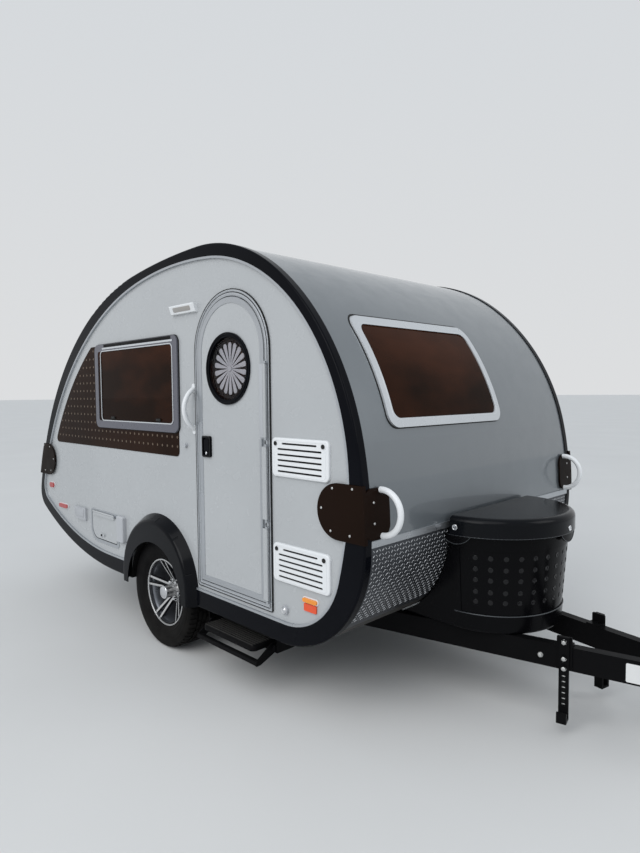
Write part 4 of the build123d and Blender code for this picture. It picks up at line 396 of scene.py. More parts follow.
@dataclass(frozen=True)
class Wood(Finish):
    """Veneered board with its grain along x."""

    def extend(self, graph: Graph) -> None:
        """Lay the grain over the colour.

        Args:
            graph: the material's graph.
        """
        figure = graph.noise(6.0, 8.0, (2.0, 14.0, 14.0))
        dark = tuple(c * 0.55 for c in self.colour)
        graph.link(graph.ramp(figure, 0.35, 0.62, dark, self.colour), "Base Color")
        graph.bump(figure, 0.15, 0.0006)


@dataclass(frozen=True)
class Cloth(Finish):
    """Woven upholstery."""

    pitch: float = 0.0025

    def extend(self, graph: Graph) -> None:
        """Add the weave and a little sheen.

        Args:
            graph: the material's graph.
        """
        heights = []
        for turn in (0.0, math.pi / 2):
            wave = graph.tree.nodes.new("ShaderNodeTexWave")
            wave.inputs["Scale"].default_value = 0.314 / self.pitch
            wave.inputs["Distortion"].default_value = 0.6
            graph.tree.links.new(graph.mapped((1, 1, 1), (0, 0, turn)), wave.inputs["Vector"])
            heights.append(wave.outputs["Fac"])
        graph.bump(graph.math("MAXIMUM", *heights), 0.5, 0.0006)
        graph.set(Sheen_Weight=0.3, Sheen_Roughness=0.5)


class Palette:
    """All finishes, made once and handed out by name."""

    FINISHES: tuple[Finish, ...] = (
        Finish("wall_gelcoat", (0.42, 0.432, 0.44), 0.25, 0.0, 0.35, 0.4, 0.02, 0.0, 60.0, 0.03),
        Flake("shell_gelcoat", (0.158, 0.176, 0.19), 0.34, 0.55, 0.85, 0.5, 0.04),
        Finish("band_black", (0.0028, 0.0032, 0.005), 0.14, 0.0, 0.0, 0.06, 0.2),
        Finish("tub_black", (0.0026, 0.0026, 0.0032), 0.2, 0.0, 0.0, 0.07, 0.2, 0.03, 90.0),
        # Lid black: bluer than the tub's black, a painted sheen of the sky on the lid's top.
        Finish("lid_black", (0.003, 0.0036, 0.005), 0.16, 0.0, 0.0, 0.12, 0.2, 0.02, 90.0),
        Finish("tub_dimple", (0.004, 0.004, 0.005), 0.2, 0.0, 0.0, 0.3, 0.1),
        # Tub edge: lighter than the tub's black, a painted highlight along the lid's and panel's edges.
        Finish("tub_edge", (0.05, 0.055, 0.06), 0.25, 0.5, 0.2, 0.5, 0.1),
        Finish("fender_black", (0.0026, 0.003, 0.0045), 0.17, 0.0, 0.0, 0.11, 0.2, 0.02, 80.0),
        Finish("frame_paint", (0.004, 0.004, 0.0045), 0.3, 0.0, 0.0, 0.03, 0.2, 0.08, 300.0, 0.01),
        Finish("axle_paint", (0.012, 0.012, 0.012), 0.5, 0.0, 0.0, 0.3, 0.3, 0.15, 200.0, 0.3),
        # Checker plate base: colour darkened as painted shade, standing in for the dark ground it reflects.
        Finish("plate_aluminium", (0.085, 0.09, 0.1), 0.38, 0.85, 0.0, 0.5, 0.12, 0.04, 120.0),
        # Checker plate diamonds: colour lightened as a painted highlight of the sky.
        Finish("plate_diamond", (0.62, 0.63, 0.65), 0.22, 1.0, 0.0, 0.5, 0.1),
        Finish("satin_aluminium", (0.5, 0.52, 0.545), 0.3, 0.9, 0.0, 0.5, 0.04),
        WindowMoulding("window_grey", (0.13, 0.13, 0.155), 0.28, 0.4, 0.1, 0.5, 0.05),
        Finish("window_silver", (0.62, 0.64, 0.66), 0.28, 0.5, 0.2, 0.5, 0.03),
        Finish("gasket_rubber", (0.009, 0.009, 0.009), 0.6, 0.0, 0.0, 0.3, 0.2, 0.1, 500.0),
        Finish("white_moulding", (0.74, 0.75, 0.76), 0.3, 0.0, 0.1, 0.4, 0.02, 0.02, 300.0),
        Finish("slot_black", (0.004, 0.004, 0.004), 0.7, 0.0, 0.0, 0.2, 0.1),
        Finish("guard_brown", (0.009, 0.004, 0.0022), 0.4, 0.0, 0.0, 0.05, 0.25, 0.2, 350.0),
        Finish("service_grey", (0.42, 0.43, 0.45), 0.4, 0.0, 0.05, 0.4, 0.04, 0.05, 400.0, 0.08),
        Finish("skin_dark", (0.017, 0.0068, 0.003), 0.3, 0.0, 0.0, 0.04, 0.25, 0.03, 300.0),
        # Skin dimples: far lighter than the dark panel they sit in, a painted highlight.
        Finish("skin_dimple", (0.17, 0.12, 0.085), 0.2, 0.8, 0.0, 0.5, 0.1),
        Finish("chrome", (0.72, 0.73, 0.75), 0.1, 1.0, 0.0, 0.5, 0.03),
        Finish("zinc", (0.5, 0.5, 0.49), 0.36, 0.85, 0.0, 0.5, 0.15, 0.05, 150.0),
        Finish("machined_alloy", (0.6, 0.6, 0.6), 0.26, 0.9, 0.0, 0.5, 0.06),
        Finish("wheel_barrel", (0.17, 0.18, 0.2), 0.3, 0.8, 0.0, 0.5, 0.08),
        Finish("wheel_paint", (0.02, 0.021, 0.024), 0.35, 0.4, 0.0, 0.4, 0.1),
        Finish("tyre_rubber", (0.0045, 0.0045, 0.005), 0.5, 0.0, 0.0, 0.03, 0.25, 0.2, 260.0, 0.05),
        Finish("cast_iron", (0.05, 0.045, 0.04), 0.6, 0.6, 0.0, 0.5, 0.3, 0.2, 120.0, 0.3),
        Finish("cabin_panel", (0.6, 0.59, 0.56), 0.5, 0.0, 0.0, 0.4, 0.03, 0.03, 300.0),
        Finish("floor_vinyl", (0.035, 0.033, 0.03), 0.55, 0.0, 0.0, 0.4, 0.15, 0.1, 200.0),
        Finish("worktop", (0.1, 0.1, 0.105), 0.3, 0.0, 0.1, 0.5, 0.3, 0.03, 300.0),
        Finish("load_grey", (0.12, 0.12, 0.13), 0.5),
        Finish("blank_plate", (0.7, 0.7, 0.69), 0.4, 0.0, 0.1),
        Finish("grip_black", (0.012, 0.012, 0.012), 0.85, 0.0, 0.0, 0.3, 0.3, 0.9, 700.0, 0.15),
        Finish("petal_grey", (0.5, 0.49, 0.53), 0.6, 0.0, 0.0, 0.3, 0.05),
        Finish("lens_red", (0.4, 0.005, 0.006), 0.12, 0.0, 0.5, 0.5, 0.05, 0.25, 500.0),
        Finish("lens_porch", (0.33, 0.31, 0.29), 0.2, 0.0, 0.5, 0.5, 0.15),
        TwoTone("lens_amber", (0.75, 0.07, 0.008), 0.15, 0.0, 0.5, 0.5, 0.05, 0.25, 500.0),
        Pane("tinted_pane", (0.012, 0.005, 0.0025), 0.04, 0.0, 0.0, 0.035, 0.05, cover=0.97),
        Pane("clear_pane", (0.02, 0.02, 0.02), 0.03, 0.0, 0.0, 0.5, 0.05, cover=0.12),
        Wood("cabinet_wood", (0.42, 0.23, 0.1), 0.35, 0.0, 0.2),
        Cloth("cushion_cloth", (0.3, 0.28, 0.25), 0.8, 0.0, 0.0, 0.3, 0.08),
    )

    def __init__(self) -> None:
        """Make every material."""
        self.made = {finish.name: finish.build() for finish in self.FINISHES}

    def dress(self, piece: bpy.types.Object, name: str) -> None:
        """Give a piece one finish all over.

        Args:
            piece: the object to dress.
            name: the finish's name.
        """
        piece.data.materials.clear()
        piece.data.materials.append(self.made[name])


@dataclass
class Studio:
    """Floor, sky, lamps and camera."""

    lens: float = 25.77
    eye: Point = (2.875, -2.914, 1.57)
    yaw: float = 45.33
    pitch: float = 3.194
    roll: float = -0.496
    floor_size: float = 400.0
    floor_tone: Colour = (0.66, 0.655, 0.645)
    horizon: Colour = (0.72, 0.73, 0.74)
    zenith: Colour = (0.62, 0.66, 0.7)
    sky_light: Colour = (0.86, 0.93, 1.0)
    sky_level: float = 0.74
    sun_level: float = 0.8
    sun_from: Point = (0.25, -0.9, 1.0)
    lamps: tuple[tuple[str, Point, Point, float, float], ...] = (
        ("side_softbox", (1.0, -7.0, 4.6), (-0.3, 0, 1.2), 4.5, 130.0),
        ("front_softbox", (6.5, 2.0, 4.8), (0.9, 0, 1.4), 3.5, 70.0),
    )

    def build(self) -> None:
        """Make the stage, the lamps, the sky and the camera."""
        bpy.context.scene.view_settings.view_transform = "Standard"
        self.make_floor()
        for name, place, target, size, power in self.lamps:
            self.make_lamp(name, place, target, size, power)
        self.make_sun()
        self.make_sky()
        self.make_camera()

    def make_floor(self) -> None:
        """Lay the pale floor."""
        bpy.ops.mesh.primitive_plane_add(size=self.floor_size, location=(0, 0, 0))
        floor = bpy.context.object
        floor.name = "studio_floor"
        graph = Graph("floor_pale")
        shade = tuple(c * 0.96 for c in self.floor_tone)
        graph.link(graph.ramp(graph.noise(0.6, 5.0), 0.3, 0.7, shade, self.floor_tone), "Base Color")
        graph.set(Roughness=0.9)
        floor.data.materials.append(graph.material)

    def make_lamp(self, name: str, place: Point, target: Point, size: float, power: float) -> None:
        """Hang one soft area lamp that looks at a target.

        Args:
            name: the lamp's name.
            place: where it hangs.
            target: what it looks at.
            size: edge of its square.
            power: its power in watts.
        """
        light = bpy.data.lights.new(name, "AREA")
        light.size, light.energy = size, power
        self.hang(light, place, Vector(target) - Vector(place))

    def make_sun(self) -> None:
        """Add a broad soft sun from the door side, as through thin cloud."""
        light = bpy.data.lights.new("cloud_sun", "SUN")
        light.angle, light.energy = math.radians(50), self.sun_level
        self.hang(light, (0, 0, 6), -Vector(self.sun_from))

    def hang(self, light: bpy.types.Light, place: Point, ahead: Vector) -> None:
        """Place a lamp that shines along a direction.

        Args:
            light: the lamp's data.
            place: where it hangs.
            ahead: where it shines.
        """
        lamp = bpy.data.objects.new(light.name, light)
        lamp.location = place
        lamp.rotation_euler = ahead.to_track_quat("-Z", "Y").to_euler()
        bpy.context.scene.collection.objects.link(lamp)

    def make_sky(self) -> None:
        """Light the scene evenly, and show a pale sky to camera, glossy and transmission rays."""
        world = bpy.data.worlds.new("studio_sky")
        bpy.context.scene.world = world
        world.use_nodes = True
        tree = world.node_tree
        background = tree.nodes["Background"]
        background.inputs["Color"].default_value = (*self.sky_light, 1.0)
        background.inputs["Strength"].default_value = self.sky_level
        split = tree.nodes.new("ShaderNodeSeparateXYZ")
        tree.links.new(tree.nodes.new("ShaderNodeTexCoord").outputs["Generated"], split.inputs["Vector"])
        ramp = tree.nodes.new("ShaderNodeValToRGB")
        stops = ramp.color_ramp.elements
        stops[0].color, stops[1].color = (*self.horizon, 1.0), (*self.zenith, 1.0)
        tree.links.new(split.outputs["Z"], ramp.inputs["Fac"])
        seen = tree.nodes.new("ShaderNodeBackground")
        tree.links.new(ramp.outputs["Color"], seen.inputs["Color"])
        seen.inputs["Strength"].default_value = 1.0
        rays = tree.nodes.new("ShaderNodeLightPath")
        total = rays.outputs["Is Camera Ray"]
        for kind in ("Is Glossy Ray", "Is Transmission Ray"):
            either = tree.nodes.new("ShaderNodeMath")
            either.operation = "MAXIMUM"
            tree.links.new(total, either.inputs[0])
            tree.links.new(rays.outputs[kind], either.inputs[1])
            total = either.outputs[0]
        pick = tree.nodes.new("ShaderNodeMixShader")
        tree.links.new(total, pick.inputs[0])
        tree.links.new(background.outputs[0], pick.inputs[1])
        tree.links.new(seen.outputs[0], pick.inputs[2])
        tree.links.new(pick.outputs[0], tree.nodes["World Output"].inputs["Surface"])

    def make_camera(self) -> None:
        """Set the camera where the photograph was taken."""
        data = bpy.data.cameras.new("photo_camera")
        data.lens = self.lens
        data.sensor_width = 36.0
        data.clip_end = 800.0
        camera = bpy.data.objects.new("photo_camera", data)
        yaw, pitch = math.radians(self.yaw), math.radians(self.pitch)
        ahead = Vector((-math.sin(yaw) * math.cos(pitch), math.cos(yaw) * math.cos(pitch), -math.sin(pitch)))
        turn = ahead.to_track_quat("-Z", "Y").to_matrix().to_4x4()
        camera.matrix_world = Matrix.Translation(self.eye) @ turn @ Matrix.Rotation(math.radians(self.roll), 4, "Z")
        bpy.context.scene.collection.objects.link(camera)
        bpy.context.scene.camera = camera


class Shaper:
    """One mesh at work, from a primitive to a finished piece whose object sits at the origin."""

    def __init__(self, kind: str, name: str, place: Point = (0, 0, 0), turn: Point = (0, 0, 0),
                 scale: Point = (1, 1, 1), **sizes: object) -> None:
        """Add the primitive and open it in edit mode.

        Args:
            kind: the primitive's name in Blender's operators.
            name: the piece's name.
            place: centre of the primitive.
            turn: rotation in radians.
            scale: scale along the primitive's own axes.
            sizes: the operator's own sizes.
        """
        bpy.ops.object.select_all(action="DESELECT")
        getattr(bpy.ops.mesh, f"primitive_{kind}_add")(location=place, rotation=turn, **sizes)
        self.piece = bpy.context.object
        self.piece.name = self.piece.data.name = name
        self.piece.scale = scale
        bpy.ops.object.transform_apply(location=True, rotation=True, scale=True)
        bpy.ops.object.mode_set(mode="EDIT")
        bpy.ops.mesh.select_all(action="SELECT")

    @classmethod
    def reopened(cls, piece: bpy.types.Object) -> "Shaper":
        """Open a finished piece in edit mode again.

        Args:
            piece: the active piece.

        Returns:
            The shaper that holds it.
        """
        shaper = cls.__new__(cls)
        shaper.piece = piece
        bpy.ops.object.mode_set(mode="EDIT")
        return shaper

    def faces(self, test: Callable[[Vector, Vector], bool]) -> "Shaper":
        """Select the faces that pass a test.

        Args:
            test: takes a face's centre and normal.

        Returns:
            The shaper itself.
        """
        return self._pick("FACE", lambda mesh: ((f, test(f.calc_center_median(), f.normal)) for f in mesh.faces))

    def edges(self, test: Callable[[Vector, Vector], bool]) -> "Shaper":
        """Select the edges that pass a test.

        Args:
            test: takes an edge's two ends.

        Returns:
            The shaper itself.
        """
        return self._pick("EDGE", lambda mesh: ((e, test(e.verts[0].co, e.verts[1].co)) for e in mesh.edges))

    def verts(self, test: Callable[[Vector], bool]) -> "Shaper":
        """Select the corners that pass a test on their place."""
        return self._pick("VERT", lambda mesh: ((v, test(v.co)) for v in mesh.verts))

    def rims(self, test: Callable[[Vector], bool]) -> "Shaper":
        """Select the open edges whose middle passes a test.

        Args:
            test: takes the middle of an open edge.

        Returns:
            The shaper itself.
        """
        return self._pick("EDGE", lambda mesh: (
            (e, e.is_boundary and test((e.verts[0].co + e.verts[1].co) / 2)) for e in mesh.edges))

    def _pick(self, kind: str, chosen: Callable[[bmesh.types.BMesh], Iterable]) -> "Shaper":
        """Select elements of one kind.

        Args:
            kind: VERT, EDGE or FACE.
            chosen: gives each element with whether it is picked.

        Returns:
            The shaper itself.
        """
        bpy.ops.mesh.select_mode(type=kind)
        bpy.ops.mesh.select_all(action="DESELECT")
        mesh = bmesh.from_edit_mesh(self.piece.data)
        for element, picked in list(chosen(mesh)):
            if picked:
                element.select_set(True)
        mesh.select_flush_mode()
        bmesh.update_edit_mesh(self.piece.data)
        return self

    def extrude(self, move: Point = (0, 0, 0)) -> "Shaper":
        """Extrude what is selected by a move."""
        bpy.ops.mesh.extrude_region_move(TRANSFORM_OT_translate={"value": move})
        return self

    def move(self, step: Point) -> "Shaper":
        """Move what is selected."""
        bpy.ops.transform.translate(value=step)
        return self

    def resize(self, factors: Point, centre: Point) -> "Shaper":
        """Scale what is selected about a centre."""
        bpy.ops.transform.resize(value=factors, center_override=centre)
        return self

    def swell(self, distance: float) -> "Shaper":
        """Push what is selected along its normals."""
        bpy.ops.transform.shrink_fatten(value=distance)
        return self

    def inset(self, thickness: float, depth: float = 0.0) -> "Shaper":
        """Inset the selected faces."""
        bpy.ops.mesh.inset(thickness=thickness, depth=depth)
        return self

    def bevel(self, width: float, segments: int = 2) -> "Shaper":
        """Bevel the selected edges."""
        bpy.ops.mesh.bevel(offset=width, segments=segments, affect="EDGES")
        return self

    def round_corners(self, radius: float, segments: int = 6) -> "Shaper":
        """Round the selected corners of a flat face."""
        bpy.ops.mesh.bevel(offset=radius, segments=segments, affect="VERTICES")
        return self

    def delete(self) -> "Shaper":
        """Delete the selected faces."""
        bpy.ops.mesh.delete(type="FACE")
        return self

    def bisect(self, point: Point, normal: Point) -> "Shaper":
        """Cut the whole mesh along a plane.

        Args:
            point: a point of the plane.
            normal: the plane's normal.

        Returns:
            The shaper itself.
        """
        bpy.ops.mesh.select_all(action="SELECT")
        bpy.ops.mesh.bisect(plane_co=point, plane_no=normal)
        return self

    def remap(self, change: Callable[[Vector], Vector]) -> "Shaper":
        """Put every corner where a function sends it.

        Args:
            change: takes a corner's place and gives its new one.

        Returns:
            The shaper itself.
        """
        mesh = bmesh.from_edit_mesh(self.piece.data)
        for vert in mesh.verts:
            vert.co = change(vert.co)
        bmesh.update_edit_mesh(self.piece.data)
        return self

    def carry(self, start: tuple[float, float], profile: Iterable[tuple[float, float]], centre: Point,
              along: Point) -> "Shaper":
        """Carry a selected round edge through a profile.

        Args:
            start: the edge's radius and its offset along the axis.
            profile: next radii and offsets.
            centre: point of the axis.
            along: the axis, of length one.

        Returns:
            The shaper itself.
        """
        radius, offset = start
        for next_radius, next_offset in profile:
            factor = next_radius / radius
            self.extrude().resize(tuple(1 if part else factor for part in along), centre)
            self.move(tuple(part * (next_offset - offset) for part in along))
            radius, offset = next_radius, next_offset
        return self

    def bridge(self) -> "Shaper":
        """Join the two open rims.

        Returns:
            The shaper itself.
        """
        self.rims(lambda middle: True)
        bpy.ops.mesh.bridge_edge_loops()
        return self

    def cap(self, test: Callable[[Vector], bool]) -> "Shaper":
        """Close an open rim with one face.

        Args:
            test: takes the middle of an open edge.

        Returns:
            The shaper itself.
        """
        self.rims(test)
        bpy.ops.mesh.edge_face_add()
        return self

    def hollow(self, band: float) -> "Shaper":
        """Leave only a band along the rim of a flat face."""
        return self.faces(lambda at, normal: True).inset(band).delete()

    def top(self) -> "Shaper":
        """Select the faces that look along +Z."""
        return self.faces(lambda at, normal: normal.z > 0.9)

    def front(self) -> "Shaper":
        """Select the faces that look out of the right wall."""
        return self.faces(lambda at, normal: normal.y < -0.9)

    def thicken(self, thickness: float) -> "Shaper":
        """Give a sheet its thickness on the side it looks to."""
        return self.modifier("SOLIDIFY", thickness=thickness, offset=1)

    def finish(self, width: float, smooth: float = 40.0, segments: int = 2) -> bpy.types.Object:
        """Round the sharp edges and leave edit mode."""
        self.modifier("BEVEL", width=width, segments=segments, limit_method="ANGLE")
        return self.done(smooth)

    def modifier(self, kind: str, **settings: object) -> "Shaper":
        """Add a modifier and apply it.

        Args:
            kind: the modifier's type.
            settings: its own settings.

        Returns:
            The shaper itself.
        """
        bpy.ops.object.mode_set(mode="OBJECT")
        extra = self.piece.modifiers.new(kind.lower(), kind)
        for key, value in settings.items():
            setattr(extra, key, value)
        bpy.ops.object.modifier_apply(modifier=extra.name)
        bpy.ops.object.mode_set(mode="EDIT")
        return self

    def done(self, smooth: float = 35.0, merge: float = 0.0) -> bpy.types.Object:
        """Leave edit mode with doubles merged, normals outward and smooth shading by angle.

        Args:
            smooth: sharpest angle in degrees that still shades smooth.
            merge: distance under which doubles merge.

        Returns:
            The piece.
        """
        bpy.ops.mesh.select_all(action="SELECT")
        if merge:
            bpy.ops.mesh.remove_doubles(threshold=merge)
        bpy.ops.mesh.normals_make_consistent(inside=False)
        bpy.ops.object.mode_set(mode="OBJECT")
        bpy.ops.object.shade_smooth_by_angle(angle=math.radians(smooth))
        return self.piece


@dataclass(frozen=True)
class Flat:
    """Pad, or frame where a band is given, with rounded corners, that stands off the right wall."""

    place: Point
    size: tuple[float, float]
    corner: float
    thick: float
    edge: float = 0.001
    band: float = 0.0
    segments: int = 7

    def build(self, name: str) -> bpy.types.Object:
        """Make the pad or frame.

        Args:
            name: the piece's name.

        Returns:
            The piece.
        """
        shaper = Shaper("plane", name, self.place, Axis.Y.value, size=1, scale=(*self.size, 1))
        shaper.round_corners(self.corner, self.segments)
        if self.band:
            shaper.hollow(self.band)
        return shaper.thicken(self.thick).finish(self.edge)


@dataclass(frozen=True)
class Turned:
    """Round part with stepped insets on its outer end, along +Z or out of the right wall."""

    radius: float
    depth: float
    sides: int
    steps: tuple[tuple[float, float], ...]
    place: Point = (0, 0, 0)
    axis: Axis = Axis.Z
    edge: float = 0.0
    smooth: float = 50.0

    def build(self, name: str) -> bpy.types.Object:
        """Make the part.

        Args:
            name: the piece's name.

        Returns:
            The part.
        """
        shaper = Shaper("cylinder", name, self.place, self.axis.value, vertices=self.sides, radius=self.radius,
                        depth=self.depth)
        shaper = shaper.top() if self.axis is Axis.Z else shaper.front()
        for thickness, depth in self.steps:
            shaper.inset(thickness, depth)
        return shaper.finish(self.edge, self.smooth) if self.edge else shaper.done(self.smooth)


def lay_out(model: bpy.types.Object, places: Iterable[Matrix], name: str) -> bpy.types.Object:
    """Copy a model to each place, each copy with its own mesh, and join the copies.

    Args:
        model: the piece modelled once, round the origin. It is used up.
        places: where each copy goes.
        name: name of the joined piece.

    Returns:
        The joined piece.
    """
    bpy.ops.object.select_all(action="DESELECT")
    twins = []
    for place in places:
        twin = model.copy()
        twin.data = model.data.copy()
        twin.data.transform(place)
        bpy.context.scene.collection.objects.link(twin)
        twin.select_set(True)
        twins.append(twin)
    bpy.data.objects.remove(model)
    bpy.context.view_layer.objects.active = twins[0]
    if len(twins) > 1:
        bpy.ops.object.join()
    twins[0].name = twins[0].data.name = name
    return twins[0]


def mirrored(model: bpy.types.Object, name: str) -> bpy.types.Object:
    """Copy a piece to the other long side, with its normals outward.

    Args:
        model: the piece to mirror.
        name: name of the copy.

    Returns:
        The mirrored copy.
    """
    bpy.ops.object.select_all(action="DESELECT")
    twin = model.copy()
    twin.data = model.data.copy()
    twin.data.transform(Matrix.Diagonal((1, -1, 1, 1)))
    bpy.context.scene.collection.objects.link(twin)
    twin.name = twin.data.name = name
    twin.select_set(True)
    bpy.context.view_layer.objects.active = twin
    bpy.ops.object.mode_set(mode="EDIT")
    bpy.ops.mesh.select_all(action="SELECT")
    bpy.ops.mesh.flip_normals()
    bpy.ops.object.mode_set(mode="OBJECT")
    return twin


def facing(place: Point, normal: Point, turn: float = 0.0) -> Matrix:
    """Matrix that stands a piece modelled along +Z on a surface.

    Args:
        place: the point of the surface.
        normal: where the piece points.
        turn: turn about the normal in radians.

    Returns:
        The matrix.
    """
    rotation = Vector(normal).to_track_quat("Z", "Y").to_matrix().to_4x4()
    return Matrix.Translation(place) @ rotation @ Matrix.Rotation(turn, 4, "Z")


def touch(node: bpy.types.Object, start: Point, ahead: Point) -> tuple[Vector, Vector]:
    """Point and normal where a ray first meets a node.

    Args:
        node: the node to meet.
        start: where the ray starts.
        ahead: the ray's direction.

    Returns:
        The point and the normal, or the start and the reversed ray where it misses.
    """
    hit, place, normal, _ = node.ray_cast(Vector(start), Vector(ahead).normalized())
    if not hit:
        return Vector(start), -Vector(ahead).normalized()
    return place, normal if normal.dot(Vector(ahead)) < 0 else -normal


class Fitter:
    """Dresses finished pieces, gives them their body and reports them."""

    def __init__(self, nodes: dict[str, bpy.types.Object], palette: "Palette") -> None:
        """Keep the frame's nodes and the finishes.

        Args:
            nodes: the frame's nodes by name.
            palette: all finishes.
        """
        self.nodes = nodes
        self.palette = palette

    def fit(self, piece: bpy.types.Object, finish: str, body: str = "trailer") -> bpy.types.Object:
        """Dress a piece and let it ride on its body.

        Args:
            piece: the finished piece.
            finish: name of its finish.
            body: the body that carries it.

        Returns:
            The piece.
        """
        self.palette.dress(piece, finish)
        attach(piece, body)
        LOG.info("%s: %d faces, rides on %s", piece.name, len(piece.data.polygons), body)
        return piece

    def paint(self, piece: bpy.types.Object, finish: str, test: Callable[[Vector, Vector], bool]) -> None:
        """Give the faces of a fitted piece that pass a test another finish.

        Args:
            piece: the fitted piece.
            finish: name of the other finish.
            test: takes a face's centre and normal.
        """
        piece.data.materials.append(self.palette.made[finish])
        for face in piece.data.polygons:
            if test(face.center, face.normal):
                face.material_index = 1

    def fit_both(self, piece: bpy.types.Object, finish: str) -> None:
        """Fit a piece of the trailer and its mirror image on the other side.

        Args:
            piece: the right piece, whose name ends in _right.
            finish: name of the finish.
        """
        twin = mirrored(piece, piece.name.replace("_right", "_left"))
        self.fit(piece, finish)
        self.fit(twin, finish)


@dataclass
class Wheels:
    """Tyres with a cut tread, wheel nuts, valves and cap rings on both sides."""

    x: float = -0.475
    z: float = 0.336
    tyre_y: float = 0.902
    radius: float = 0.336
    crown: float = 0.075
    segments: int = 180
    groove_depth: float = 0.008
    slot_depth: float = 0.005
    grooves: tuple[tuple[float, float], ...] = ((-0.050, -0.041), (-0.019, -0.011), (0.011, 0.019), (0.041, 0.050))
    walls: tuple[tuple[float, float], ...] = (
        (0.3325, 0.0850), (0.3260, 0.0930), (0.3150, 0.0980), (0.3020, 0.0995), (0.2960, 0.1000), (0.2950, 0.1012),
        (0.2860, 0.1022), (0.2840, 0.1012), (0.2720, 0.1020), (0.2560, 0.0990), (0.2400, 0.0925), (0.2385, 0.0935),
        (0.2330, 0.0905), (0.2310, 0.0880), (0.2180, 0.0800), (0.2120, 0.0765), (0.2095, 0.0720), (0.1908, 0.0700),
    )
    nuts: int = 5
    nut: tuple[float, float] = (0.0105, 0.018)
    nut_circle: float = 0.05715
    nut_y: float = 0.905
    nut_start: float = 133.0
    cap: Turned = Turned(0.041, 0.010, 48, ((0.004, 0.003), (0.004, -0.002), (0.006, 0.003), (0.010, 0.0015)),
                         edge=0.0008, smooth=40)
    cap_y: float = 0.980
    valve_circle: float = 0.168
    valve_angle: float = 61.0
    valve_y: float = 0.935
    valve_lean: float = 0.4

    def build(self, fitter: Fitter) -> None:
        """Make both wheels' pieces.

        Args:
            fitter: dresses and mounts the pieces.
        """
        for side in Side:
            name = side.name.lower()
            tyre = self.make_tyre(f"tyre_tread_{name}", side)
            fitter.fit(tyre, "tyre_rubber", f"wheel_{name}")
            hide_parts(f"tyre_{name}")
            fitter.fit(self.make_nuts(f"wheel_nuts_{name}", side), "chrome", f"wheel_{name}")
            end = facing((self.x, side.value * self.cap_y, self.z), (0, side.value, 0))
            cap = lay_out(self.cap.build("hub_cap"), [end], f"hub_cap_{name}")
            fitter.fit(cap, "chrome", f"wheel_{name}")
            fitter.fit(self.make_valve(f"valve_{name}", side), "gasket_rubber", f"wheel_{name}")

    def make_tyre(self, name: str, side: Side) -> bpy.types.Object:
        """Tread band with grooves and slots, carried down both walls to the beads.

        Args:
            name: the piece's name.
            side: which side it is on.

        Returns:
            The tyre.
        """
        centre = (self.x, side.value * self.tyre_y, self.z)
        shaper = Shaper("cylinder", name, centre, Axis.Y.value, vertices=self.segments, radius=self.radius,
                        depth=2 * self.crown, end_fill_type="NOTHING")
        for pair in self.grooves:
            for offset in pair:
                shaper.bisect((0, centre[1] + offset, 0), (0, 1, 0))
        for way in (1, -1):
            shaper.rims(lambda middle, way=way: way * (middle.y - centre[1]) > 0)
            shaper.carry((self.radius, self.crown), self.walls, centre, (0, way, 0))
        shaper.bridge()
        factor = 1 - self.groove_depth / self.radius
        shaper.faces(lambda place, normal: any(low < place.y - centre[1] < high for low, high in self.grooves)
                     and math.hypot(place.x - self.x, place.z - self.z) > self.radius * 0.98)
        shaper.extrude().resize((factor, 1, factor), centre)
        shaper.faces(lambda place, normal: self.in_slot(place, centre))
        shaper.extrude().swell(-self.slot_depth)
        return shaper.done(30)

    def in_slot(self, place: Vector, centre: Point) -> bool:
        """Whether a face lies in one of the tread's cross slots.

        Args:
            place: the face's centre.
            centre: the tyre's centre.

        Returns:
            True where a slot is cut.
        """
        radius = math.hypot(place.x - self.x, place.z - self.z)
        across = place.y - centre[1]
        turn = math.atan2(place.z - self.z, place.x - self.x) % math.tau
        step = int(turn / math.tau * self.segments)
        if radius < self.radius - 0.012 or abs(across) > 0.096:
            return False
        if abs(across) > self.grooves[-1][1]:
            return step % 3 == (0 if across > 0 else 1)
        if abs(across) > self.grooves[-1][0]:
            return False
        lanes = {0.030: 2, 0.0: 0, -0.030: 1}
        return any(abs(across - lane) < 0.011 and step % 6 == 2 * phase for lane, phase in lanes.items())

    def make_nuts(self, name: str, side: Side) -> bpy.types.Object:
        """Five wheel nuts in the hub's holes.

        Args:
            name: the piece's name.
            side: which side they are on.

        Returns:
            The joined nuts.
        """
        radius, height = self.nut
        shaper = Shaper("cylinder", name, (0, 0, height / 3), vertices=6, radius=radius, depth=height)
        shaper.top().inset(0.003, 0.002)
        shaper.faces(lambda place, normal: normal.z < -0.9).extrude().resize((1.25, 1.25, 1), (0, 0, 0))
        nut = shaper.finish(0.0012)
        places = []
        for index in range(self.nuts):
            angle = math.radians(self.nut_start + 360 / self.nuts * index)
            place = (self.x + self.nut_circle * math.cos(angle), side.value * self.nut_y,
                     self.z + self.nut_circle * math.sin(angle))
            places.append(facing(place, (0, side.value, 0)))
        return lay_out(nut, places, name)

    def make_valve(self, name: str, side: Side) -> bpy.types.Object:
        """Valve stem with its cap, through the barrel beside a spoke.

        Args:
            name: the piece's name.
            side: which side it is on.

        Returns:
            The valve.
        """
        shaper = Shaper("cylinder", name, (0, 0, 0.012), vertices=12, radius=0.004, depth=0.024)
        shaper.top().extrude().resize((1.3, 1.3, 1), (0, 0, 0))
        shaper.extrude((0, 0, 0.010)).inset(0.0012, 0.001)
        valve = shaper.done(40)
        angle = math.radians(self.valve_angle)
        across, up = math.cos(angle), math.sin(angle)
        place = (self.x + self.valve_circle * across, side.value * self.valve_y, self.z + self.valve_circle * up)
        lean = (-self.valve_lean * across, side.value, -self.valve_lean * up)
        return lay_out(valve, [facing(place, lean)], name)


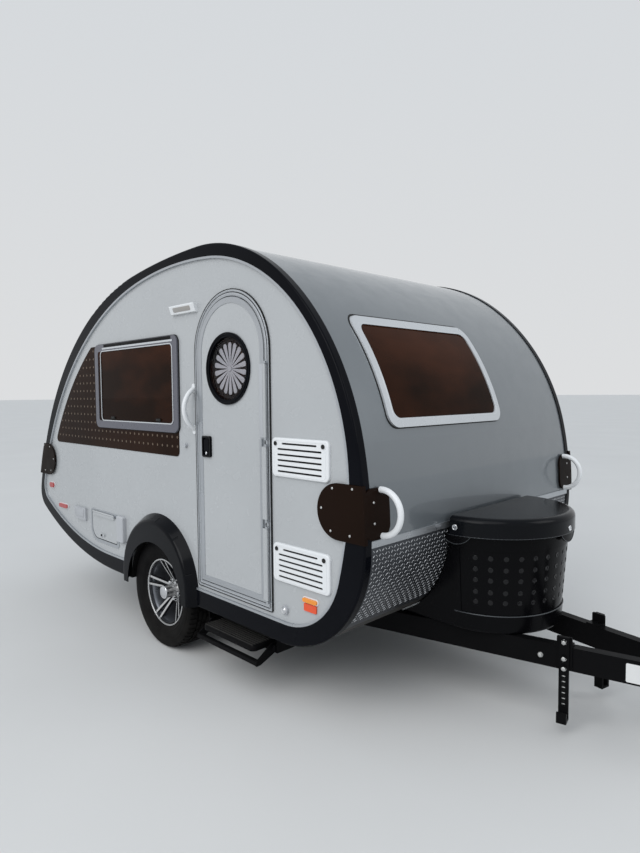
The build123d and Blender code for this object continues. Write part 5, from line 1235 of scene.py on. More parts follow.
@dataclass
class Rims:
    """Deep-dished split-spoke alloy wheels: barrel, bright lip, spokes, hub, cap and brake drum."""

    x: float = -0.475
    z: float = 0.336
    seat: tuple[float, float, float] = (0.1905, 0.832, 0.972)
    profile: tuple[tuple[float, float], ...] = (
        (0.2080, 0.972), (0.2080, 0.976), (0.2065, 0.978), (0.1995, 0.978), (0.1972, 0.974), (0.1955, 0.960),
        (0.1880, 0.950), (0.1810, 0.930), (0.1760, 0.900), (0.1740, 0.850), (0.1800, 0.830), (0.2055, 0.826),
        (0.2080, 0.829), (0.2080, 0.832),
    )
    lip_y: float = 0.9745
    pairs: int = 5
    spoke_start: float = 97.0
    spoke_span: tuple[float, float] = (0.052, 0.1985)
    spoke_size: tuple[float, float] = (0.0145, 0.026)
    spoke_offsets: tuple[float, float] = (0.0110, 0.0265)
    spoke_faces: tuple[float, float] = (0.9025, 0.9755)
    hub: Turned = Turned(0.067, 0.030, 60, ((0.008, 0.002), (0.006, -0.003)), (0, 0, 0.8875),
                         edge=0.0015, smooth=40)
    boss: Turned = Turned(0.0165, 0.014, 24, ((0.0035, 0.0), (0.001, -0.006)), (0, 0.05715, 0.8985), smooth=40)
    cap_radius: float = 0.039
    cap_end: float = 0.978
    drum: Turned = Turned(0.125, 0.038, 64, ((0.02, 0.003), (0.01, -0.002)), (0, 0, 0.847), edge=0.002, smooth=40)

    def build(self, fitter: Fitter) -> None:
        """Make the right wheel and mirror it.

        Args:
            fitter: dresses and mounts the pieces.
        """
        place = facing((self.x, 0, self.z), (0, -1, 0))
        models = {
            "rim_barrel": (self.make_barrel(), "wheel_barrel"), "rim_spider": (self.make_spider(), "wheel_paint"),
            "rim_drum": (self.drum.build("rim_drum"), "cast_iron"),
        }
        for name, (model, finish) in models.items():
            right = lay_out(model, [place], f"{name}_right")
            for side, piece in ((Side.RIGHT, right), (Side.LEFT, mirrored(right, f"{name}_left"))):
                fitter.fit(piece, finish, f"wheel_{side.name.lower()}")
                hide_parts(f"rim_{side.name.lower()}")
                if name != "rim_drum":
                    fitter.paint(piece, "machined_alloy", lambda at, normal, out=side.value, name=name:
                                 self.bright(name, at, normal.y * out))

    def bright(self, name: str, at: Vector, outward: float) -> bool:
        """Whether a face is machined bright.

        Args:
            name: which model it belongs to.
            at: the face's centre.
            outward: how far its normal points outward.

        Returns:
            True for the lip and the fronts of spokes, hub and cap.
        """
        if name == "rim_barrel":
            return abs(at.y) > self.lip_y
        near = math.hypot(at.x - self.x, at.z - self.z) < self.cap_radius + 0.002
        return outward > 0.6 or near and abs(at.y) > self.spoke_faces[0]

    def make_barrel(self) -> bpy.types.Object:
        """Closed ring of the barrel with both flanges.

        Returns:
            The barrel round the origin, along +Z.
        """
        radius, low, high = self.seat
        shaper = Shaper("cylinder", "rim_barrel", (0, 0, (low + high) / 2), vertices=96, radius=radius,
                        depth=high - low, end_fill_type="NOTHING")
        shaper.rims(lambda middle: middle.z > (low + high) / 2)
        return shaper.carry((radius, high), self.profile, (0, 0, 0), (0, 0, 1)).bridge().done(40)

    def make_spider(self) -> bpy.types.Object:
        """Spoke pairs on the hub, with its bosses and its standing cap.

        Returns:
            The spider round the origin, along +Z.
        """
        face = self.spoke_faces[0]
        hub = self.hub.build("rim_hub")
        depth = self.cap_end - face + 0.006
        shaper = Shaper("cylinder", "rim_cap_tube", (0, 0, self.cap_end - depth / 2), vertices=48,
                        radius=self.cap_radius, depth=depth)
        shaper.faces(lambda at, normal: normal.z < -0.9).extrude((0, 0, -0.001)).resize((1.12, 1.12, 1), (0, 0, 0))
        tube = shaper.done(40)
        turns = [math.radians(self.spoke_start - 90 + 360 / self.pairs * i) for i in range(self.pairs)]
        half = math.pi / self.pairs
        places = [Matrix.Rotation(turn + half, 4, "Z") for turn in turns]
        boss = lay_out(self.boss.build("rim_boss"), places, "rim_bosses")
        spokes = joined([self.make_spoke(-1), self.make_spoke(1)], "rim_spoke_pair")
        spokes = lay_out(spokes, [Matrix.Rotation(turn, 4, "Z") for turn in turns], "rim_spokes")
        return joined([hub, tube, boss, spokes], "rim_spider")

    def make_spoke(self, side: int) -> bpy.types.Object:
        """One spoke along +Y that rises from the hub to the lip and leans away from its twin.

        Args:
            side: -1 or 1, the side of the pair's middle.

        Returns:
            The spoke.
        """
        low, high = self.spoke_span
        width, depth = self.spoke_size
        shaper = Shaper("cube", "rim_spoke", (0, (low + high) / 2, -depth / 2), size=1,
                        scale=(width, high - low, depth))
        shaper.edges(lambda a, b: a.z > -0.001 and b.z > -0.001 and abs(a.y - b.y) > 0.01).bevel(0.0018, 2)
        for index in range(1, 9):
            shaper.bisect((0, low + (high - low) * index / 9, 0), (0, 1, 0))
        shaper.faces(lambda at, normal: normal.z < -0.9).resize((0.72, 1, 1), (0, 0, 0))

        def dished(at: Vector) -> Vector:
            """Place of a corner on the rising, leaning spoke.

            Args:
                at: the corner on the straight bar.

            Returns:
                Its new place.
            """
            share = max(0.0, (at.y - low) / (high - low))
            rise = self.spoke_faces[0] + (self.spoke_faces[1] - self.spoke_faces[0]) * share ** 0.9
            lean = self.spoke_offsets[0] + (self.spoke_offsets[1] - self.spoke_offsets[0]) * share
            return Vector((at.x + side * lean, at.y, at.z + rise))

        return shaper.remap(dished).done(35)


def arch_plane(name: str, x: float, back: float, span: tuple[float, float], half_width: float,
               segments: int) -> Shaper:
    """Start a flat arch on the right wall, with straight legs and a round top.

    Args:
        name: the piece's name.
        x: middle of the arch.
        back: y of its plane.
        span: lowest and highest z.
        half_width: half its width, and nearly the radius of its top.
        segments: segments of each quarter of the top.

    Returns:
        The shaper.
    """
    low, high = span
    middle = (low + high) / 2
    shaper = Shaper("plane", name, (x, back, middle), Axis.Y.value, size=1, scale=(2 * half_width, high - low, 1))
    return shaper.verts(lambda at: at.z > middle).round_corners(half_width * 0.9995, segments)


def joined(pieces: list[bpy.types.Object], name: str) -> bpy.types.Object:
    """Join finished pieces into one.

    Args:
        pieces: the pieces, used up.
        name: name of the whole.

    Returns:
        The joined piece.
    """
    bpy.ops.object.select_all(action="DESELECT")
    for piece in pieces:
        piece.select_set(True)
    bpy.context.view_layer.objects.active = pieces[0]
    if len(pieces) > 1:
        bpy.ops.object.join()
    pieces[0].name = pieces[0].data.name = name
    return pieces[0]


@dataclass
class CheckerPlate:
    """Raised bars of the front's checker plate, coloured lighter than the plate as a painted highlight."""

    pitch: float = 0.0205
    bar: tuple[float, float, float] = (0.0094, 0.0023, 0.0013)
    half_width: float = 0.945
    low: float = 0.535
    high: float = 0.887
    start_x: float = 1.6

    def build(self, fitter: Fitter) -> None:
        """Make the bars and fit them.

        Args:
            fitter: dresses and mounts the pieces.
        """
        plate = fitter.nodes["front_checker_plate"]
        columns = int(2 * self.half_width / self.pitch)
        places = []
        z, row = self.high, 0
        while z > self.low:
            slope = 0.6
            for column in range(columns + 1):
                y = (column - columns / 2) * self.pitch
                at, normal = touch(plate, (self.start_x, y, z), (-1, 0, 0))
                if at.x > self.start_x - 0.01 or normal.x < 0.2:
                    continue
                slope = normal.x
                turn = math.radians(45 if (row + column) % 2 else -45)
                places.append(facing(at, normal, turn))
            z -= self.pitch * slope
            row += 1
        # Bars take the lighter diamond colour: painted highlight.
        fitter.fit(lay_out(self.make_bar(), places, "checker_bars"), "plate_diamond")

    def make_bar(self) -> bpy.types.Object:
        """One lens-shaped bar.

        Returns:
            The bar round the origin.
        """
        long, wide, high = self.bar
        shaper = Shaper("cylinder", "checker_bar", vertices=8, radius=1, depth=1, scale=(long, wide, high))
        shaper.top().resize((0.62, 0.4, 1), (0, 0, 0)).move((0, 0, high * 0.5))
        return shaper.done(20)


@dataclass
class Tub:
    """Dimples, lock buttons, tabs and beads of the tongue tub."""

    x: float = 1.225
    columns: int = 14
    column_step: float = 11.13
    rows: tuple[float, ...] = (0.7717, 0.7158, 0.6623, 0.6035, 0.5537)
    dimple: Turned = Turned(0.0125, 0.0016, 16, ((0.0022, 0.0012), (0.0012, 0.0), (0.0035, -0.0012),
                                                 (0.003, -0.0006)), smooth=60)
    lock: Turned = Turned(0.014, 0.006, 28, ((0.0022, 0.0015), (0.0015, -0.0018), (0.0055, 0.0012)), (0, 0, 0.001),
                          edge=0.0006)
    locks: tuple[tuple[float, float], ...] = ((-85.2, 0.916), (2.0, 0.9), (85.2, 0.916))
    lid_radius: float = 0.410
    lid_low: float = 0.874
    tab_radius: float = 0.098
    tab_z: float = 0.930
    lid_bead: tuple[float, float, float] = (0.407, 0.876, 0.0034)
    panel_bead: tuple[float, float, float] = (0.3565, 0.488, 0.0032)

    def build(self, fitter: Fitter) -> None:
        """Make the tub's details and fit them.

        Args:
            fitter: dresses and mounts the pieces.
        """
        body, lid = fitter.nodes["tub_body"], fitter.nodes["tub_lid"]
        places = []
        for row in self.rows:
            for index in range(self.columns):
                angle = (index - (self.columns - 1) / 2) * self.column_step
                places.append(facing(*self.meet(body, angle, row)))
        fitter.fit(lay_out(self.dimple.build("tub_dimple"), places, "tub_dimples"), "tub_dimple")
        locks = [facing(*self.meet(lid, angle, height)) for angle, height in self.locks]
        fitter.fit(lay_out(self.lock.build("tub_lock"), locks, "tub_locks"), "chrome", "tub_cover")
        tabs = [self.make_tab(angle) for angle, _ in self.locks]
        fitter.fit(joined(tabs, "tub_tabs"), "tub_black", "tub_cover")
        lines = [self.make_tab_line(angle) for angle, _ in self.locks]
        # Tab lines and beads take the lighter edge colour: painted highlight.
        fitter.fit(joined(lines, "tub_tab_lines"), "tub_edge", "tub_cover")
        fitter.fit(self.make_bead("tub_lid_bead", *self.lid_bead), "tub_edge", "tub_cover")
        fitter.fit(self.make_bead("tub_panel_bead", *self.panel_bead), "tub_edge")

    def meet(self, node: bpy.types.Object, angle: float, height: float) -> tuple[Vector, Vector]:
        """Point and normal of the tub's side at an angle from straight ahead.

        Args:
            node: the tub or its lid.
            angle: degrees, positive to the left.
            height: height above the ground.

        Returns:
            The point and the normal.
        """
        turn = math.radians(angle)
        out = Vector((math.cos(turn), math.sin(turn), 0))
        return touch(node, Vector((self.x, 0, height)) + out * 0.6, -out)

    def make_tab(self, angle: float) -> bpy.types.Object:
        """Round tongue that hangs from the lid's edge under a lock, bent round the tub.

        Args:
            angle: degrees from straight ahead.

        Returns:
            The tab.
        """
        shaper = Shaper("cylinder", "tub_tab", (0, 0, self.tab_z), Axis.X.value, vertices=64,
                        radius=self.tab_radius, depth=0.0045, end_fill_type="TRIFAN")
        shaper.bisect((0, 0, self.lid_low + 0.004), (0, 0, 1))
        shaper.faces(lambda at, normal: at.z > self.lid_low + 0.004).delete()
        for step in range(-9, 10):
            shaper.bisect((0, step * 0.008, 0), (0, 1, 0))
        shaper.cap(lambda middle: True)
        self.bend(shaper, angle, self.lid_radius - 0.0025)
        return shaper.done(40, 0.00001)

    def make_tab_line(self, angle: float) -> bpy.types.Object:
        """Raised line round the rim of a tab, coloured lighter than the tub as a painted highlight.

        Args:
            angle: degrees from straight ahead.

        Returns:
            The line.
        """
        shaper = Shaper("torus", "tub_tab_line", (0, 0, self.tab_z), Axis.X.value, major_segments=96,
                        minor_segments=8, major_radius=self.tab_radius - 0.003, minor_radius=0.0019)
        shaper.bisect((0, 0, self.lid_low + 0.001), (0, 0, 1))
        shaper.faces(lambda at, normal: at.z > self.lid_low + 0.001).delete()
        for side in (-1, 1):
            shaper.cap(lambda middle, side=side: middle.y * side > 0)
        self.bend(shaper, angle, self.lid_radius + 0.0002)
        return shaper.done(50, 0.00001)

    def bend(self, shaper: Shaper, angle: float, reach: float) -> None:
        """Bend a flat shape, whose width runs along y, round the tub.

        Args:
            shaper: the shape, flat round x = 0.
            angle: degrees from straight ahead of its middle.
            reach: radius at which x = 0 lands.
        """
        def bent(at: Vector) -> Vector:
            """Place of a corner on the bent shape."""
            turn = math.radians(angle) + at.y / self.lid_radius
            return Vector((self.x + (reach + at.x) * math.cos(turn), (reach + at.x) * math.sin(turn), at.z))

        shaper.remap(bent)

    def make_bead(self, name: str, radius: float, height: float, thick: float) -> bpy.types.Object:
        """Half-round bead that runs round the tub's front, coloured lighter than the tub as a painted highlight
        line.

        Args:
            name: the piece's name.
            radius: radius of its line.
            height: height of its line.
            thick: radius of the bead.

        Returns:
            The bead.
        """
        shaper = Shaper("torus", name, (self.x, 0, height), major_segments=120, minor_segments=10,
                        major_radius=radius, minor_radius=thick)
        shaper.bisect((self.x, 0, 0), (1, 0, 0))
        shaper.faces(lambda at, normal: at.x < self.x).delete()
        for side in (-1, 1):
            shaper.cap(lambda middle, side=side: middle.y * side > 0)
        return shaper.done(50, 0.00001)


@dataclass
class Vents:
    """Dark slots, screws and raised rims of the appliance vents."""

    x: float = 0.811
    heights: tuple[float, ...] = (0.753, 1.263)
    slots: int = 6
    pitch: float = 0.0265
    top_slot: float = 0.234
    slot: Flat = Flat((0.811, -1.0048, 0), (0.298, 0.0086), 0.0042, 0.0055, 0.0004)
    rim: Flat = Flat((0.811, -1.0138, 0), (0.352, 0.166), 0.020, 0.0014, band=0.0035)
    screw: Turned = Turned(0.0105, 0.003, 20, ((0.002, 0.001), (0.0045, -0.0014)), (0, 0, 0.001), smooth=45)
    screw_at: tuple[float, float] = (0.161, -1.0165)

    def build(self, fitter: Fitter) -> None:
        """Make the slots' backs, the screws and the rims and fit them.

        Args:
            fitter: dresses and mounts the pieces.
        """
        backs, screws, rims = [], [], []
        half = (self.slots - 1) / 2
        for height in self.heights:
            for index in range(self.slots):
                size = (self.top_slot if index == self.slots - 1 else self.slot.size[0], self.slot.size[1])
                place = (self.x, self.slot.place[1], height + (index - half) * self.pitch)
                backs.append(replace(self.slot, place=place, size=size).build("slot"))
            for side in (-1, 1):
                place = (self.x + side * self.screw_at[0], self.screw_at[1], height + half * self.pitch)
                screws.append(facing(place, (0, -1, 0)))
        fitter.fit(joined(backs, "vent_slots"), "slot_black")
        fitter.fit(lay_out(self.screw.build("vent_screw"), screws, "vent_screws"), "gasket_rubber")
        for height in self.heights:
            rims.append(replace(self.rim, place=(self.x, self.rim.place[1], height)).build("vent_rim"))
        fitter.fit(joined(rims, "vent_rims"), "white_moulding")


@dataclass
class Porthole:
    """Dish, spread blades and ring bead of the door's round window."""

    x: float = 0.270
    z: float = 1.698
    blades: int = 18
    inner: float = 0.014
    outer: float = 0.137
    blade_y: float = -0.9945
    dish: Turned = Turned(0.1636, 0.004, 72, ((0.004, 0.008), (0.016, -0.004), (0.004, -0.004)),
                          (0.270, -0.989, 1.698), Axis.Y, 0.0012)
    hub: Turned = Turned(0.015, 0.006, 32, ((0.003, 0.002), (0.004, -0.001)), (0.270, -0.996, 1.698), Axis.Y)
    bead_y: float = -1.0185
    bead: tuple[float, float] = (0.1765, 0.003)

    def build(self, fitter: Fitter) -> None:
        """Make the dish, the blades, the hub and the ring's bead and fit them.

        Args:
            fitter: dresses and mounts the pieces.
        """
        fitter.fit(self.dish.build("porthole_dish"), "band_black", "door")
        middle = Matrix.Translation((self.x, self.blade_y, self.z))
        turns = [middle @ Matrix.Rotation(math.tau * i / self.blades, 4, "Y") for i in range(self.blades)]
        fitter.fit(lay_out(self.make_blade(), turns, "porthole_blades"), "petal_grey", "door")
        fitter.fit(self.hub.build("porthole_hub"), "petal_grey", "door")
        centre, (major, minor) = (self.x, self.bead_y, self.z), self.bead
        shaper = Shaper("torus", "porthole_bead", centre, Axis.Y.value, major_segments=96, minor_segments=10,
                        major_radius=major, minor_radius=minor)
        shaper.faces(lambda at, normal: True).resize((1, 1.2, 1), centre)
        fitter.fit(shaper.done(60), "band_black", "door")

    def make_blade(self) -> bpy.types.Object:
        """One wedge with a rounded outer end, along +Z from the hub.

        Returns:
            The blade round the origin.
        """
        wide = math.tau * self.outer / self.blades * 0.66
        shaper = Shaper("plane", "porthole_blade", (0, 0, (self.inner + self.outer) / 2), Axis.Y.value, size=1,
                        scale=(wide, self.outer - self.inner, 1))
        shaper.verts(lambda at: at.z < self.outer * 0.5).resize((0.17, 1, 1), (0, 0, 0))
        shaper.verts(lambda at: at.z > self.outer * 0.5).round_corners(wide * 0.46, 6)
        shaper.modifier("SOLIDIFY", thickness=0.003, offset=0)
        return shaper.finish(0.0008)


@dataclass
class SkinPanels:
    """Dimples of the dark panels round the side windows, coloured light bronze as painted highlights."""

    pitch_x: float = 0.0570
    pitch_z: float = 0.0557
    start_x: float = -0.245
    start_z: float = 1.260
    columns: int = 32
    rows: int = 13
    dimple: Turned = Turned(0.0078, 0.001, 12, ((0.0018, 0.0008), (0.003, -0.001)), smooth=60)
    margin: float = 0.016
    face_y: float = -1.003

    def build(self, fitter: Fitter) -> None:
        """Lay the dimples over both panels and fit them.

        Args:
            fitter: dresses and mounts the pieces.
        """
        panel = fitter.nodes["skin_panels"]
        places = []
        for row in range(self.rows):
            for column in range(self.columns):
                x, z = self.start_x - column * self.pitch_x, self.start_z + row * self.pitch_z
                if self.inside(panel, x, z):
                    places.append(facing((x, self.face_y, z), (0, -1, 0)))
        dimples = lay_out(self.dimple.build("panel_dimple"), places, "panel_dimples_right")
        # Dimples lighter than the dark panel: painted highlight.
        fitter.fit_both(dimples, "skin_dimple")

    def inside(self, panel: bpy.types.Object, x: float, z: float) -> bool:
        """Whether a dimple at a place lies wholly on the right panel.

        Args:
            panel: the panels' node.
            x: place along the wall.
            z: height.

        Returns:
            True where it does.
        """
        for dx, dz in ((0, 0), (self.margin, 0), (-self.margin, 0), (0, self.margin), (0, -self.margin)):
            at, _ = touch(panel, (x + dx, -1.3, z + dz), (0, 1, 0))
            if abs(at.y - self.face_y) > 0.0005:
                return False
        return True


@dataclass
class SideWindows:
    """Inner frames, gaskets, tracks, bars and latches of the side windows."""

    parts: tuple[tuple[str, Flat, str, str], ...] = (
        ("bead", Flat((-0.725, -1.0156, 1.6275), (0.93, 0.478), 0.032, 0.0035, band=0.007),
         "window_silver", "window_frame"),
        ("gasket", Flat((-0.747, -0.9995, 1.626), (1.073, 0.576), 0.048, 0.0075, band=0.007),
         "gasket_rubber", "black_satin"),
        ("track", Flat((-0.708, -1.0152, 1.898), (0.86, 0.019), 0.003, 0.0025), "slot_black", "black_satin"),
        ("bar", Flat((-0.708, -1.0156, 1.880), (0.90, 0.012), 0.003, 0.004), "window_silver", "window_frame"),
    )
    latch: Flat = Flat((0, -1.0127, 1.412), (0.05, 0.016), 0.005, 0.009, 0.002)
    latches: tuple[float, ...] = (-1.02, -0.43)

    def build(self, fitter: Fitter) -> None:
        """Make the pieces of the right window and mirror them.

        Args:
            fitter: dresses and mounts the pieces.
        """
        for name, flat, finish, slot in self.parts:
            fitter.fit_both(flat.build(f"window_{name}_right"), finish)
        _, y, z = self.latch.place
        latches = [replace(self.latch, place=(x, y, z)).build("window_latch") for x in self.latches]
        fitter.fit_both(joined(latches, "window_latches_right"), "gasket_rubber")


@dataclass
class WallFittings:
    """Rivets, locks and small covers of the walls and the door."""

    rivets: tuple[tuple[float, float], ...] = (
        (1.0308, 1.1526), (1.1486, 1.1600), (0.9622, 1.0584), (1.019, 0.963), (1.1332, 0.957))
    end_rivets: tuple[float, ...] = (1.1022, 1.013)
    rivet_shift: float = -1.104
    rivet: Turned = Turned(0.0058, 0.00192, 12, ((0.00145, 0.00096), (0.00203, 0.00064)), (0, 0, 0.00064),
                           smooth=60)
    parts: tuple[tuple[str, Flat | Turned, str, str, str], ...] = (
        ("latch_rim", Flat((0.071, -1.0195, 1.280), (0.076, 0.112), 0.011, 0.0022, band=0.005),
         "gasket_rubber", "black_satin", "door"),
        ("latch_lock", Turned(0.008, 0.013, 24, ((0.0014, 0.001), (0.0015, -0.001)), (0.071, -1.0135, 1.244),
                              Axis.Y), "chrome", "steel_bright", "door"),
        ("hatch_lock_plate", Flat((-1.2666, -1.0047, 0.572), (0.026, 0.034), 0.008, 0.0035),
         "service_grey", "service_grey", "hatch"),
        ("hatch_lock", Turned(0.0075, 0.005, 20, ((0.0012, 0.001), (0.0018, -0.0016)), (-1.2666, -1.0095, 0.572),
                              Axis.Y), "slot_black", "black_satin", "hatch"),
        ("outlet_flap", Flat((-1.612, -1.0155, 0.693), (0.150, 0.062), 0.01, 0.003, 0.0012),
         "service_grey", "service_grey", "trailer"),
        ("water_cap", Turned(0.018, 0.006, 28, ((0.003, 0.003), (0.004, -0.002), (0.003, 0.004)),
                             (0.695, -1.0125, 0.524), Axis.Y, smooth=45), "chrome", "steel_bright", "trailer"),
    )

    def build(self, fitter: Fitter) -> None:
        """Make and fit the small parts.

        Args:
            fitter: dresses and mounts the pieces.
        """
        self.make_rivets(fitter)
        for name, shape, finish, slot, body in self.parts:
            fitter.fit(shape.build(name), finish, body)

    def make_rivets(self, fitter: Fitter) -> None:
        """Rivets of the four corner guards.

        Args:
            fitter: dresses and mounts the pieces.
        """
        guards = fitter.nodes["corner_guards"]
        places = []
        for x, z in self.rivets:
            for start in (x, self.rivet_shift - x):
                at, normal = touch(guards, (start, -1.3, z), (0, 1, 0))
                if normal.y < -0.7 and at.y < -1.012:
                    places.append(facing(at, normal))
        for z in self.end_rivets:
            for way, start in ((-1, 1.6), (1, -2.8)):
                at, normal = touch(guards, (start, -0.955, z), (way, 0, 0))
                if abs(at.x - start) > 0.01:
                    places.append(facing(at, normal))
        rivets = lay_out(self.rivet.build("guard_rivet"), places, "guard_rivets_right")
        fitter.fit_both(rivets, "zinc")


@dataclass
class Lamps:
    """Pale bases round the side lamps."""

    amber: Flat = Flat((0.869, -0.9995, 0.608), (0.104, 0.030), 0.0149, 0.004, band=0.005)
    reds: tuple[tuple[float, float, float, float], ...] = (
        (-2.145, 0.843, 0.091, 0.050), (-1.930, 0.700, 0.165, 0.040))

    def build(self, fitter: Fitter) -> None:
        """Make and fit the lamps' surrounds.

        Args:
            fitter: dresses and mounts the pieces.
        """
        fitter.fit_both(self.amber.build("amber_base_right"), "white_moulding")
        rings = [replace(self.amber, place=(x, self.amber.place[1], z), size=(long, high), corner=high / 2 - 0.0002)
                 for x, z, long, high in self.reds]
        rings = joined([ring.build("red_base") for ring in rings], "red_bases_right")
        fitter.fit_both(rings, "white_moulding")


@dataclass
class Step:
    """Ribbed grip on the entry step."""

    x: float = 0.268
    width: float = 0.420
    top: float = 0.2945
    first_y: float = -1.036
    last_y: float = -0.895
    ribs: int = 9

    def build(self, fitter: Fitter) -> None:
        """Lay the ribs on the tread and fit them.

        Args:
            fitter: dresses and mounts the pieces.
        """
        shaper = Shaper("cube", "step_rib", (0, 0, 0.0006), size=1, scale=(self.width, 0.008, 0.0032))
        shaper.top().resize((0.995, 0.5, 1), (0, 0, 0))
        rib = shaper.finish(0.0008)
        step = (self.last_y - self.first_y) / (self.ribs - 1)
        places = [Matrix.Translation((self.x, self.first_y + step * i, self.top)) for i in range(self.ribs)]
        fitter.fit(lay_out(rib, places, "step_ribs"), "grip_black", "step")


@dataclass
class Tongue:
    """Bolts and the blank plate of the tongue."""

    bracket_x: float = 1.710
    beam_y: float = 0.1961
    heights: tuple[float, ...] = (0.424, 0.348, 0.302)
    beam_bolt: Point = (1.6053, 0.2196, 0.335)
    ahead: tuple[float, float] = (0.219, 0.976)
    slot: tuple[float, float] = (0.017, 0.157)
    slot_z: float = 0.1995
    rungs: int = 6
    reach: float = 0.3
    plate_at: Point = (1.9935, -0.1325, 0.3375)
    plate: tuple[float, float] = (0.075, 0.084)

    def build(self, fitter: Fitter) -> None:
        """Make and fit the tongue's small parts.

        Args:
            fitter: dresses and mounts the pieces.
        """
        brackets, frame = fitter.nodes["chassis_brackets"], fitter.nodes["chassis_frame"]
        places = []
        for side in Side:
            out = Vector((self.ahead[0], side.value * self.ahead[1], 0))
            for height in self.heights:
                start = Vector((self.bracket_x, side.value * self.beam_y, height)) + out * self.reach
                at, normal = touch(brackets, start, -out)
                if (at - start).length > 0.01:
                    places.append(facing(at - normal * 0.009, normal))
            x, y, z = self.beam_bolt
            start = Vector((x, side.value * y, z)) + out * self.reach
            places.append(facing(*touch(frame, start, -out)))
        fitter.fit(lay_out(self.make_bolt(), places, "tongue_bolts"), "zinc")
        self.make_plate(fitter, frame)
        self.make_slots(fitter, brackets)

    def make_bolt(self) -> bpy.types.Object:
        """Hexagon bolt head on a washer.

        Returns:
            The bolt round the origin.
        """
        shaper = Shaper("cylinder", "tongue_bolt", (0, 0, 0.0012), vertices=24, radius=0.0125, depth=0.0024)
        washer = shaper.finish(0.0006, segments=1)
        shaper = Shaper("cylinder", "tongue_bolt_head", (0, 0, 0.0065), vertices=6, radius=0.0105, depth=0.0085)
        shaper.top().inset(0.0025, 0.0012)
        head = shaper.finish(0.0008)
        return joined([washer, head], "tongue_bolt")

    def make_slots(self, fitter: Fitter, brackets: bpy.types.Object) -> None:
        """Dark back and rungs in the slot of each bracket.

        Args:
            fitter: dresses and mounts the pieces.
            brackets: the brackets' node.
        """
        backs, rungs = [], []
        for side in Side:
            out = Vector((self.ahead[0], side.value * self.ahead[1], 0))
            middle = Vector((self.bracket_x, side.value * self.beam_y, self.slot_z + self.slot[1] / 2 + 0.012))
            at, normal = touch(brackets, middle + out * self.reach, -out)
            at.z = self.slot_z
            backs.append(facing(at - normal * 0.006, normal))
            for index in range(self.rungs):
                lift = (index - (self.rungs - 1) / 2) * self.slot[1] / self.rungs
                rungs.append(facing(at - normal * 0.003 + Vector((0, 0, lift)), normal))
        shaper = Shaper("cube", "slot_back", size=1, scale=(self.slot[0], self.slot[1], 0.003))
        back = shaper.finish(0.0008, segments=1)
        fitter.fit(lay_out(back, backs, "bracket_slot_backs"), "slot_black")
        shaper = Shaper("cube", "slot_rung", size=1, scale=(self.slot[0] * 0.95, 0.004, 0.003))
        rung = shaper.finish(0.0008, segments=1)
        fitter.fit(lay_out(rung, rungs, "bracket_slot_rungs"), "zinc")

    def make_plate(self, fitter: Fitter, frame: bpy.types.Object) -> None:
        """Blank plate on the right tongue beam.

        Args:
            fitter: dresses and mounts the pieces.
            frame: the beams' node.
        """
        out = Vector((self.ahead[0], -self.ahead[1], 0))
        at, normal = touch(frame, Vector(self.plate_at) + out * self.reach, -out)
        shaper = Shaper("plane", "tongue_plate", size=1, scale=(*self.plate, 1)).round_corners(0.006, 4)
        plate = shaper.thicken(0.0012).finish(0.0003, segments=1)
        along = Vector((self.ahead[1], self.ahead[0], 0))
        rotation = Matrix((along, Vector((0, 0, 1)), normal)).transposed().to_4x4()
        plate = lay_out(plate, [Matrix.Translation(at) @ rotation], "tongue_plate")
        fitter.fit(plate, "blank_plate")


@dataclass
class ArchShadeBands:
    """Dark bands on the wheel openings' edges and on the wall under the fenders: painted shade of the fenders and
    wheel wells.
    """

    x: float = -0.475
    bands: tuple[tuple[float, ...], ...] = (
        (0.336, 0.3712, 0.003, -0.955, 0.0485), (0.415, 0.413, 0.043, -0.9998, 0.002))
    foot: float = 0.354
    spare: float = 0.08

    def build(self, fitter: Fitter) -> None:
        """Make the right painted-shade bands and mirror them.

        Args:
            fitter: dresses and mounts the pieces.
        """
        # Dark bands: painted shade under the fenders and in the wheel openings.
        shade_bands = joined([self.arch(*band) for band in self.bands], "arch_liner_right")
        fitter.fit_both(shade_bands, "slot_black")

    def arch(self, centre: float, radius: float, band: float, back: float, thick: float) -> bpy.types.Object:
        """Band of an arch with open feet.

        Args:
            centre: height of the arch's centre.
            radius: its outer radius.
            band: width of the band.
            back: y of its back.
            thick: how far it stands off.

        Returns:
            The band.
        """
        low = min(centre, self.foot) - self.spare
        shaper = arch_plane("arch_band", self.x, back, (low, centre + radius), radius, 32).hollow(band)
        shaper.bisect((0, 0, self.foot), (0, 0, 1)).faces(lambda at, normal: at.z < self.foot).delete()
        return shaper.thicken(thick).done(40)


